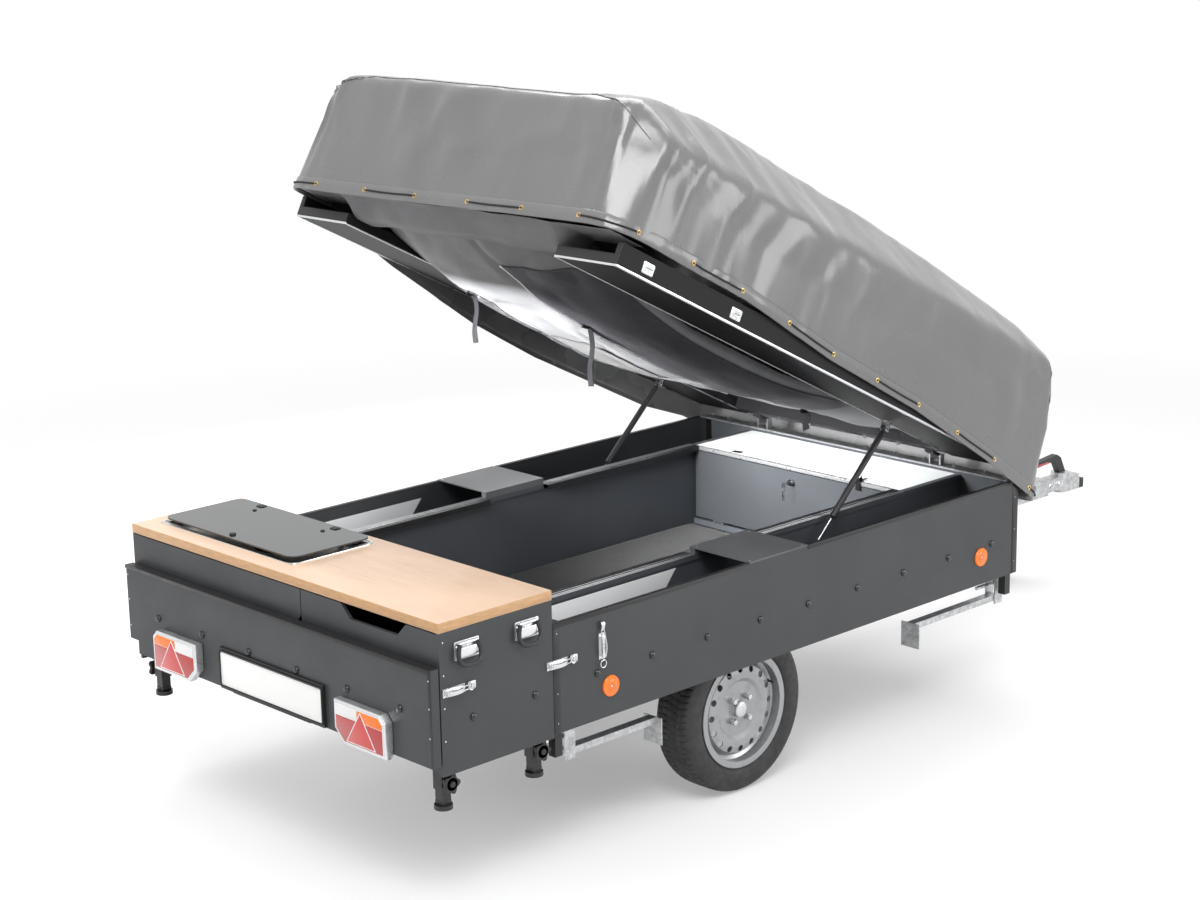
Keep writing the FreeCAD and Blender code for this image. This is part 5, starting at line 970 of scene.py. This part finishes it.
def cover_point(targets, lift=0.0, sharpness=80):
    """Where the cover lies in the direction of each target from its core line.

    The distance is a soft least of the distances to the flat faces, so edges come out rounded; the folds are
    added along the blended outward direction, and the lift after them.
    """
    core = np.zeros_like(targets)
    core[..., 1] = np.clip(targets[..., 1], CORE_REAR, CORE_FRONT)
    core[..., 2] = CORE_HEIGHT
    way = targets - core
    way /= np.maximum(np.linalg.norm(way, axis=-1, keepdims=True), 1e-9)
    facing = way @ PLANES.T
    gap = REACHES - core @ PLANES.T
    pull = np.maximum(facing / gap, 1e-6)
    most = pull.max(-1, keepdims=True)
    weight = (pull / most) ** sharpness
    distance = 1 / (most[..., 0] * weight.sum(-1) ** (1 / sharpness))
    base = core + way * distance[..., None]
    out = (weight[..., None] * PLANES).sum(-2)
    out /= np.linalg.norm(out, axis=-1, keepdims=True)
    return base + out * (folds(base, out) + lift)[..., None]


def ridge(value, width):
    """One at the middle of a fold, falling to nothing at the width either side."""
    return np.exp(-(value / width) ** 2)


def folds(at, out):
    """Height of the cover's folds at places on it, from its slack, its creases and the pull of its lacing."""
    s = bpy.context.scene.trailer_sizes
    x, y, z = at[..., 0], at[..., 1], at[..., 2]
    steep = 1 - np.abs(out[..., 2])
    slack = 0.007 * noise(at * (1, 1, 1.2), 0.62, 11) + 0.0045 * noise(at, 0.24, 12)
    loose = ridge(x - 0.75, 0.30) * ridge(y + 2.05, 0.65)
    line = noise(np.stack([(y - 0.55 * z - 0.8 * x) / 0.085, z / 0.6, x / 0.5], -1), 1.0, 20)
    slack += 0.012 * loose * (1 - 2.2 * np.abs(line))
    warp = 0.09 * noise(at, 0.5, 13) + 0.03 * noise(at, 0.17, 14)
    along = y * np.abs(out[..., 0]) + x * np.abs(out[..., 1])
    hang = noise(np.stack([(along + warp + 0.32 * z) / 0.105, z / 0.9, np.sign(x) * np.abs(out[..., 0]) * 3], -1), 1.0, 15)
    hang = np.abs(hang) ** 0.75 * np.sign(hang)
    crease = 1 - 2.4 * np.abs(noise(at * (1, 1, 0.8) + warp[..., None] * 0.9, 0.19, 16))
    crease = np.maximum(crease, -0.2) * np.maximum(noise(at, 0.45, 17) + 0.25, 0)
    fine = 0.0011 * noise(at * (1, 1, 0.5), 0.045, 18)
    corner = ridge(np.abs(x) - 0.74, 0.20) * (ridge(y + 2.2, 0.30) + ridge(y - 0.1, 0.28))
    gather = noise(np.stack([(z - 0.55 * np.abs(along)) / 0.05, along / 0.5, np.sign(x)], -1), 1.0, 19)
    depth = s.crease * (0.35 + 0.65 * steep)
    total = slack + depth * (0.75 * hang * steep + 0.95 * crease + 0.8 * corner * gather) + fine
    low = np.clip((z - 0.10) / 0.16, 0, 1)
    return np.where(low < 1, np.maximum(total, -0.002) * (0.45 + 0.55 * low) + 0.0035 * (1 - low), total) - 0.004 * low


def hem_height(x, y):
    """Height of the hem beside the lid, and across its ends from one side's height to the other's."""
    right, left = (np.interp(y, *np.array(HEM[side]).T) for side in (1, -1))
    share = np.clip(x / (2 * COVER_HALF) + 0.5, 0, 1)
    return left + (right - left) * share * share * (3 - 2 * share)


def hem_line(count, start=0.0, end=1.0):
    """Places round the hem in plan, evenly spaced from the middle of the front, right side first."""
    h, r, f = COVER_HALF, COVER_REAR, COVER_FRONT
    corners = np.array([(0, f), (h, f), (h, r), (-h, r), (-h, f), (0, f)])
    length = np.r_[0, np.cumsum(np.linalg.norm(np.diff(corners, axis=0), axis=1))]
    at = np.linspace(start, end, count) * length[-1]
    x, y = (np.interp(at, length, corners[:, k]) for k in (0, 1))
    return np.stack([x, y, hem_height(x, y)], -1)


def at_hem(places, rise, lift=0.0):
    """Points on the cover at a height above the hem at each place."""
    target = places.copy()
    target[..., 2] = hem_height(places[..., 0], places[..., 1]) + rise
    for _ in range(3):
        found = cover_point(target, lift)
        target[..., 2] += hem_height(places[..., 0], places[..., 1]) + rise - found[..., 2]
    return found


class TRAILER_OT_cover(bpy.types.Operator):
    """The coated cover with its hem, seams, eyelets and elastic lacing"""
    bl_idname = "trailer.cover"
    bl_label = "Cover"

    def execute(self, context):
        s = context.scene.trailer_sizes
        around, rows = 540, 84
        foot = hem_line(around + 1)[:-1]
        core = np.stack([np.zeros(around), np.clip(foot[:, 1], CORE_REAR, CORE_FRONT), np.full(around, CORE_HEIGHT)], -1)
        way = foot[:, :2] - core[:, :2]
        far = np.linalg.norm(way, axis=1)
        start = np.arctan2(foot[:, 2] - CORE_HEIGHT, far)
        v = np.linspace(0, 1, rows)[:, None]
        angle = start + (math.pi / 2 - 0.0005 - start) * v ** 0.92
        target = core + np.stack([way[:, 0] / far * np.cos(angle), way[:, 1] / far * np.cos(angle), np.sin(angle)], -1)
        points = cover_point(target)
        points[0] = at_hem(foot, 0.0)
        skirt = points[:9]
        skirt[:] = points[0] + (points[9] - points[0]) * np.linspace(0, 1, 9, endpoint=False)[:, None, None]
        cover = piece("tent_cover_skin", lidded([skin(points, caps=False)]), FINISHES["cover"], "lid", sharp=180,
                      replaces=("tent_cover",))
        thicken(cover, 0.0012)

        places = hem_line(901)[:-1]
        rises = (-0.001, 0.004, s.hem * 0.5, s.hem - 0.004, s.hem)
        lifts = (0.0008, 0.0030, 0.0026, 0.0028, 0.0006)
        band = np.array([at_hem(places, rise, lift) for rise, lift in zip(rises, lifts)])
        hem = piece("cover_hem", lidded([skin(band, caps=False)]), FINISHES["cover"], "lid", sharp=180)
        thicken(hem, 0.0006)

        seams = []
        for side in (1, -1):
            half = side * COVER_HALF
            y = np.linspace(COVER_REAR + 0.02, 0.05, 300)
            seams.append(np.stack([np.full(300, side * 0.545), y, np.full(300, 0.628)], -1))
            x = np.linspace(0.5, 1, 40) * half
            seams.append(np.stack([x, np.full(40, COVER_REAR + 0.03), np.interp(np.abs(x), (0.53, 0.7892), (0.52, 0.43))], -1))
        x = np.linspace(-0.53, 0.53, 120)
        seams.append(np.stack([x, np.full(120, COVER_REAR + 0.03), np.full(120, 0.525)], -1))
        strips = []
        for line in seams:
            path = cover_point(line, 0.0008)
            strips.append(sweep(path, disc(0, 0, 0.0026, 8) * (1.0, 0.55), (0.3, -0.2, 1)))
        stitched = piece("cover_seams", lidded(strips), FINISHES["cover"], "lid", sharp=180)

        count = 32
        stops = np.arange(count) / count + 0.5 / count
        eyes, cords = [], []
        spots = np.array([hem_line(1, t, t)[0] for t in stops])
        centre = at_hem(spots, s.hem * 0.48, 0.0034)
        near = at_hem(spots + (0.002, 0.002, 0), s.hem * 0.48, 0.0034)
        flat = np.where(np.abs(spots[:, :1]) > COVER_HALF - 0.02, (1.0, 0, 0), (0, 1.0, 0)) * np.sign(
            np.where(np.abs(spots[:, :1]) > COVER_HALF - 0.02, spots[:, :1], spots[:, 1:2] + 1))
        turn = np.linspace(0, 2 * math.pi, 20, endpoint=False)
        for point, out in zip(centre, flat):
            side = np.cross(out, (0, 0, 1))
            ring = np.cos(turn)[:, None] * side + np.sin(turn)[:, None] * np.array((0, 0, 1))
            rings = np.array([point + ring * r * s.eyelet + out * h for r, h in
                              ((1.0, -0.001), (0.95, 0.0012), (0.72, 0.0018), (0.5, 0.0008), (0.48, -0.001))])
            eyes.append(skin(rings, caps=False))
        for k in range(0, count, 2):
            path_t = np.linspace(stops[k], stops[k + 1], 14)
            spots = np.array([hem_line(1, t, t)[0] for t in path_t])
            rise = s.hem * 0.48 - 0.002 * np.sin(np.linspace(0, math.pi, 14))
            line = at_hem(spots, rise, 0.0034 + s.lacing)
            line[0] -= (line[0] - at_hem(spots[:1], s.hem * 0.48, 0.0)[0]) * 0.9
            line[-1] -= (line[-1] - at_hem(spots[-1:], s.hem * 0.48, 0.0)[0]) * 0.9
            cords.append(sweep(line, disc(0, 0, s.lacing, 10)))
        rings = piece("cover_eyelets", lidded(eyes), FINISHES["brass"], "lid")
        laces = piece("cover_lacing", lidded(cords), FINISHES["webbing"], "lid", sharp=180)
        return {"FINISHED"}


# ---------------------------------------------------------------- lid

UNDER = np.array([(-2.200, 0.062), (-1.950, -0.020), (-1.550, -0.085), (-1.050, -0.085), (-0.600, -0.025),
                  (-0.250, 0.020), (-0.110, 0.040)])


def under_cloth(x, y, lift=0.0):
    """The folded tent's lower side: a sag from end to end and from board to board, with swags and folds."""
    s = bpy.context.scene.trailer_sizes
    along = np.interp(y, *smooth_path(UNDER, 60).T)
    edge = np.clip(np.abs(x) / 0.505, 0, 1)
    at = np.stack([x, y, np.zeros_like(x)], -1)
    swag = noise(np.stack([(x + 0.22 * y + 0.08 * noise(at, 0.4, 31)) / 0.11, y / 0.7, x * 0], -1), 1.0, 32)
    cross = noise(np.stack([x / 0.5, (y + 0.25 * x + 0.06 * noise(at, 0.3, 33)) / 0.13, x * 0], -1), 1.0, 34)
    crease = 1 - 2.2 * np.abs(noise(at + 0.05 * noise(at, 0.2, 35)[..., None], 0.16, 36))
    z = along + 0.055 * edge ** 3 + s.sag * (0.8 * swag + 0.5 * cross + 0.4 * np.maximum(crease, -0.2)) * (1 - edge ** 6)
    return np.stack([x, y, np.maximum(z, along - 0.012) - lift], -1)


class TRAILER_OT_lid(bpy.types.Operator):
    """Folded tent, its dark panels, piping and straps, and the lid's trims and fittings"""
    bl_idname = "trailer.lid"
    bl_label = "Lid"

    def execute(self, context):
        x, y = np.meshgrid(np.linspace(-0.505, 0.505, 110), np.linspace(-2.195, -0.115, 220))
        lower = under_cloth(x, y)
        upper = lower[:, ::-1].copy()
        upper[..., 2] = np.interp(upper[..., 1], *UNDER.T) + 0.115 - 0.03 * (np.abs(upper[..., 0]) / 0.505) ** 4
        rings = np.concatenate([lower, upper], 1)
        bundle = piece("tent_bundle_cloth", lidded([skin(rings)]), FINISHES["canvas"], "lid", sharp=180,
                       replaces=("tent_bundle",))

        panels = (("tent_panel_dark", "dark_cloth", 0.06, 0.50, -2.02, -0.62, 0.10),
                  ("tent_panel_left", "dark_cloth", -0.50, -0.30, -1.75, -0.40, 0.05))
        trims = []
        for name, finish, x0, x1, y0, y1, lean in panels:
            u, v = np.meshgrid(np.linspace(0, 1, 60), np.linspace(0, 1, 130))
            py = y0 + (y1 - y0) * v
            px = x0 + (x1 - x0) * u + lean * (1 - u) * np.sin(2.2 * v)
            cloth = under_cloth(px, py, 0.0030)
            made = piece(name, lidded([skin(cloth, wrap=False)]), FINISHES[finish], "lid", sharp=180)
            thicken(made, 0.0012)
            edge = cloth[:, 0] if x0 > 0 else cloth[:, -1]
            trims.append(sweep(edge - (0, 0, 0.001), disc(0, 0, 0.003, 8)))
        piece("tent_piping", lidded(trims), FINISHES["silver"], "lid", sharp=180)

        x, y = np.meshgrid(np.linspace(-0.77, 0.77, 150), np.linspace(-2.284, -2.13, 40))
        inner = np.clip((0.56 - np.abs(x)) / 0.06, 0, 1)
        fall = np.clip((y + 2.284) / 0.10, 0, 1)
        at = np.stack([x / 0.09, y / 0.5, x * 0], -1)
        z = 0.101 - 0.060 * inner * fall * fall * (3 - 2 * fall) + 0.006 * noise(at, 1.0, 37) * inner
        drape = piece("tent_rear_drape", lidded([skin(np.stack([x, y, z], -1), wrap=False)]), FINISHES["canvas"], "lid",
                      sharp=180)
        thicken(drape, 0.0012)

        patch_x, patch_y = np.meshgrid(np.linspace(-0.26, 0.0, 30), np.linspace(-1.42, -1.05, 40))
        patch = piece("tent_pocket", lidded([skin(under_cloth(patch_x, patch_y, 0.0035), wrap=False)]),
                      FINISHES["carpet"], "lid", sharp=180)
        thicken(patch, 0.0012)

        straps = []
        for x0, y0, drop in ((-0.36, -1.72, 0.17), (0.13, -1.62, 0.20), (0.20, -0.52, 0.07)):
            top = under_cloth(np.array([x0]), np.array([y0]), 0.003)[0]
            down = np.array((0, math.sin(LID_TILT), -math.cos(LID_TILT)))
            line = [top + (0, -0.03, 0.001), top, top + down * drop * 0.3 + (0.004, 0.01, 0),
                    top + down * drop * 0.7 + (-0.004, 0.004, 0), top + down * drop + (0.004, 0, 0)]
            straps.append(sweep(smooth_path(line, 24), rect(0, 0, 0.030, 0.0018), (0.2, 1, 0)))
        piece("tent_straps", lidded(straps), FINISHES["webbing"], "lid", sharp=60)

        lower_z = 0.010
        strips = [block((0.7795, -2.222, lower_z - 0.0012), (0.7812, -0.03, lower_z + 0.006), 0.0004),
                  block((0.770, -2.222, lower_z - 0.0015), (0.7805, -0.03, lower_z), 0.0004),
                  block((0.5085, -2.222, lower_z - 0.0012), (0.5145, -0.08, lower_z + 0.003), 0.0004),
                  block((0.510, -2.2235, lower_z - 0.0012), (0.781, -2.2215, lower_z + 0.006), 0.0004)]
        piece("lid_trims", lidded(mirrored(strips)), FINISHES["silver"], "lid")
        ends = [block((0.512, -2.2245, lower_z + 0.007), (0.7795, -2.2215, lower_z + 0.036), 0.0008),
                block((0.7595, -2.2245, lower_z + 0.036), (0.7795, -2.2215, lower_z + 0.073), 0.0008)]
        piece("lid_end_caps", lidded(mirrored(ends)), FINISHES["plastic"], "lid")

        catch = []
        for back in (-2.093, -1.663):
            catch.append(slab(rect(back, 0.046, 0.052, 0.036, 0.004), 0.7802, 0.0018, "x", 0.0006))
            catch.append(sweep([(0.786, back - 0.016, 0.050), (0.786, back + 0.016, 0.050)], disc(0, 0, 0.003, 12)))
            catch += [lathe([(0, 0.0032), (0.0026, 0.0028), (0.003, 0.0003)], (0.782, back + d, 0.034), "x", 12)
                      for d in (-0.02, 0.02)]
        piece("lid_catch_details", lidded(mirrored(catch)), FINISHES["bright"], "lid")
        bolts = [lathe([(-0.001, 0.012), (0.004, 0.012), (0.0045, 0.0075), (0.011, 0.007), (0.0115, 0.0005)],
                       (x, -0.077, lower_z), "z", 6, -1) for x in (0.14, 0.30)]
        piece("cross_bar_bolts", lidded(mirrored(bolts)), FINISHES["bright"], "lid")
        return {"FINISHED"}


# ---------------------------------------------------------------- running gear

class TRAILER_OT_wheels(bpy.types.Operator):
    """Road tyres with their tread, wheel bolts and valves, and the jockey wheel"""
    bl_idname = "trailer.wheels"
    bl_label = "Wheels"

    def execute(self, context):
        s = context.scene.trailer_sizes
        half = [(0.0, 0.2800), (0.020, 0.2799), (0.040, 0.2794), (0.055, 0.2775), (0.0655, 0.272), (0.0725, 0.262),
                (0.0760, 0.250), (0.0775, 0.236), (0.0768, 0.222), (0.0735, 0.210), (0.0690, 0.2025), (0.0655, 0.1985),
                (0.0655, 0.190), (0.062, 0.1792), (0.050, 0.1790)]
        path = smooth_path([(-a, r, 0) for a, r in half[:0:-1]] + [(a, r, 0) for a, r in half], 150)[:, :2]
        across, radius = path[:, 0], path[:, 1]
        pitches = s.pitches
        turn = np.linspace(0, 2 * math.pi, pitches * 9, endpoint=False)
        phase = turn[:, None] * pitches / (2 * math.pi)
        width = across[None, :]
        on_tread = np.clip((radius[None, :] - 0.2705) / 0.004, 0, 1)
        ring_cut = sum(ridge(width - at, 0.0030) for at in (-0.040, -0.014, 0.014, 0.040))
        lean = np.where(np.abs(width) > 0.027, 6.0, -9.0) * width
        slot_cut = ridge((phase + lean + 0.37 * (np.abs(width) > 0.027)) % 1 - 0.5, 0.085)
        slot_cut *= np.where(np.abs(width) < 0.014, 0.55, 1.0)
        depth = s.tread * on_tread * np.clip(ring_cut + slot_cut, 0, 1)
        wall = 0.0009 * (ridge(radius - 0.252, 0.0012) + ridge(radius - 0.214, 0.0012) + ridge(radius - 0.2055, 0.001))
        shoulder = 0.0012 * ridge(radius - 0.262, 0.005) * ridge(phase % 1 - 0.5, 0.18)
        reach = radius - depth - shoulder
        out = np.where(np.abs(across) > 0.06, np.sign(across) * wall, 0)
        x = np.broadcast_to(across + out, reach.shape)
        surface = np.stack([x, reach * np.cos(turn)[:, None], reach * np.sin(turn)[:, None]], -1)
        bolt = [(0, 0.0105), (0.006, 0.0105), (0.0105, 0.009), (0.0115, 0.0005)]
        for name, side in SIDES:
            low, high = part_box(f"tyre_{name}")
            hub = np.array((low + high) / 2)
            piece(f"road_tyre_{name}", [skin(surface + hub, loop=True)], FINISHES["rubber"], f"wheel_{name}",
                  sharp=50, replaces=(f"tyre_{name}",))
            face = side * 0.054
            bolts = [lathe(bolt, hub + (face, 0.05 * math.cos(a), 0.05 * math.sin(a)), "x", 6, side)
                     for a in np.arange(4) * math.pi / 2 + math.pi / 4]
            cap = [(0, 0.0305), (0.004, 0.0305), (0.010, 0.0290), (0.017, 0.0245), (0.0185, 0.020), (0.0185, 0.0005)]
            bolts.append(lathe(cap, hub + (side * 0.042, 0, 0), "x", 40, side))
            piece(f"hub_bolts_{name}", bolts, FINISHES["bright"], f"wheel_{name}")
            valve = [lathe([(-0.012, 0.0058), (0.004, 0.0058), (0.006, 0.004), (0.022, 0.0036), (0.0225, 0.0045),
                            (0.030, 0.0045), (0.031, 0.0005)], hub + (side * 0.040, 0.155 * math.cos(0.4),
                                                                     0.155 * math.sin(0.4)), "x", 16, side)]
            piece(f"valve_{name}", valve, FINISHES["plastic"], f"wheel_{name}")

        low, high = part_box("jockey_wheel")
        hub = np.array((low + high) / 2)
        tyre = [(-0.014, 0.072), (-0.021, 0.074), (-0.0245, 0.080), (-0.0245, 0.088), (-0.020, 0.095), (-0.012, 0.0995),
                (0.012, 0.0995), (0.020, 0.095), (0.0245, 0.088), (0.0245, 0.080), (0.021, 0.074), (0.014, 0.072)]
        made = piece("jockey_tyre", [lathe(tyre, hub, "x", 64)], FINISHES["rubber"], "jockey_roller",
                     replaces=("jockey_wheel",))
        rim = [(-0.027, 0.0075), (-0.027, 0.020), (-0.018, 0.024), (-0.008, 0.030), (-0.008, 0.060), (-0.018, 0.066),
               (-0.020, 0.0735), (0.020, 0.0735), (0.018, 0.066), (0.008, 0.060), (0.008, 0.030), (0.018, 0.024),
               (0.027, 0.020), (0.027, 0.0075)]
        piece("jockey_rim", [lathe(rim, hub, "x", 64)], FINISHES["zinc"], "jockey_roller")
        return {"FINISHED"}


class TRAILER_OT_drawbar(bpy.types.Operator):
    """Bolts and release lever of the coupling, the steadies' spindles and the hinge bar's bolts"""
    bl_idname = "trailer.drawbar"
    bl_label = "Drawbar"

    def execute(self, context):
        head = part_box("coupling_head")
        nut = [(0, 0.012), (0.008, 0.012), (0.009, 0.008), (0.014, 0.0075), (0.0145, 0.0005)]
        parts = []
        for y in (head[0].y + 0.030, head[0].y + 0.095):
            z = (head[0].z + head[1].z) / 2
            parts.append(lathe(nut, (0.027, y, z), "x", 6))
            parts.append(lathe([(-0.002, 0.015), (0.0015, 0.015), (0.0015, 0.0005)], (0.027, y, z), "x", 24))
        piece("coupling_bolts", mirrored(parts), FINISHES["bright"], "chassis")
        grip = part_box("coupling_grip_and_nose")
        top = grip[1].z
        insert = [block((-0.0145, head[1].y - 0.27, top - 0.030), (0.0145, head[1].y - 0.19, top - 0.018), 0.003)]
        piece("coupling_release", insert, FINISHES["red"], "chassis")

        screws = []
        for name, y, step in (("rear", REAR + 0.03, 1), ("front", FRONT - 0.03, -1)):
            screws.append(sweep([(0.70, y, 0.392), (0.70, y + step * 0.10, 0.392)], disc(0, 0, 0.007, 12)))
            screws.append(lathe([(0, 0.012), (0.014, 0.012), (0.014, 0.0005)], (0.70, y, 0.392), "y", 6, -step))
        piece("steady_screws", mirrored(screws), FINISHES["bright"], "chassis")

        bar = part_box("hinge_bar")
        bolts = [lathe([(0, 0.009), (0.005, 0.009), (0.006, 0.0055), (0.009, 0.005), (0.0095, 0.0005)],
                       (x, FRONT - 0.012, TOP + 0.006), "z", 6) for x in (0.08, 0.22, 0.36, 0.50, 0.64, 0.735)]
        piece("hinge_bar_bolts", mirrored(bolts), FINISHES["bright"], "chassis")
        return {"FINISHED"}


# ---------------------------------------------------------------- add-on

OPERATORS = (TRAILER_OT_stage, TRAILER_OT_finishes, TRAILER_OT_body_fittings, TRAILER_OT_tub, TRAILER_OT_latches,
             TRAILER_OT_kitchen, TRAILER_OT_tailgate, TRAILER_OT_cover, TRAILER_OT_lid, TRAILER_OT_wheels,
             TRAILER_OT_drawbar)


class TRAILER_PT_panel(bpy.types.Panel):
    """Lists the trailer's settings and pieces in the sidebar"""
    bl_idname = "TRAILER_PT_panel"
    bl_label = "Folding camper trailer"
    bl_space_type = "VIEW_3D"
    bl_region_type = "UI"
    bl_category = "Trailer"

    def draw(self, context):
        for group in (context.scene.trailer_sizes, context.scene.trailer_colours):
            for name in group.__annotations__:
                self.layout.prop(group, name)
        for operator in OPERATORS:
            self.layout.operator(operator.bl_idname)


CLASSES = (TrailerSizes, TrailerColours, *OPERATORS, TRAILER_PT_panel)


def register():
    for cls in CLASSES:
        bpy.utils.register_class(cls)
    bpy.types.Scene.trailer_sizes = PointerProperty(type=TrailerSizes)
    bpy.types.Scene.trailer_colours = PointerProperty(type=TrailerColours)


def unregister():
    del bpy.types.Scene.trailer_sizes, bpy.types.Scene.trailer_colours
    for cls in reversed(CLASSES):
        bpy.utils.unregister_class(cls)


def main():
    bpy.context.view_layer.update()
    register()
    for operator in OPERATORS:
        group, name = operator.bl_idname.split(".")
        getattr(getattr(bpy.ops, group), name)()
    bpy.context.view_layer.update()


if __name__ == "__main__":
    main()
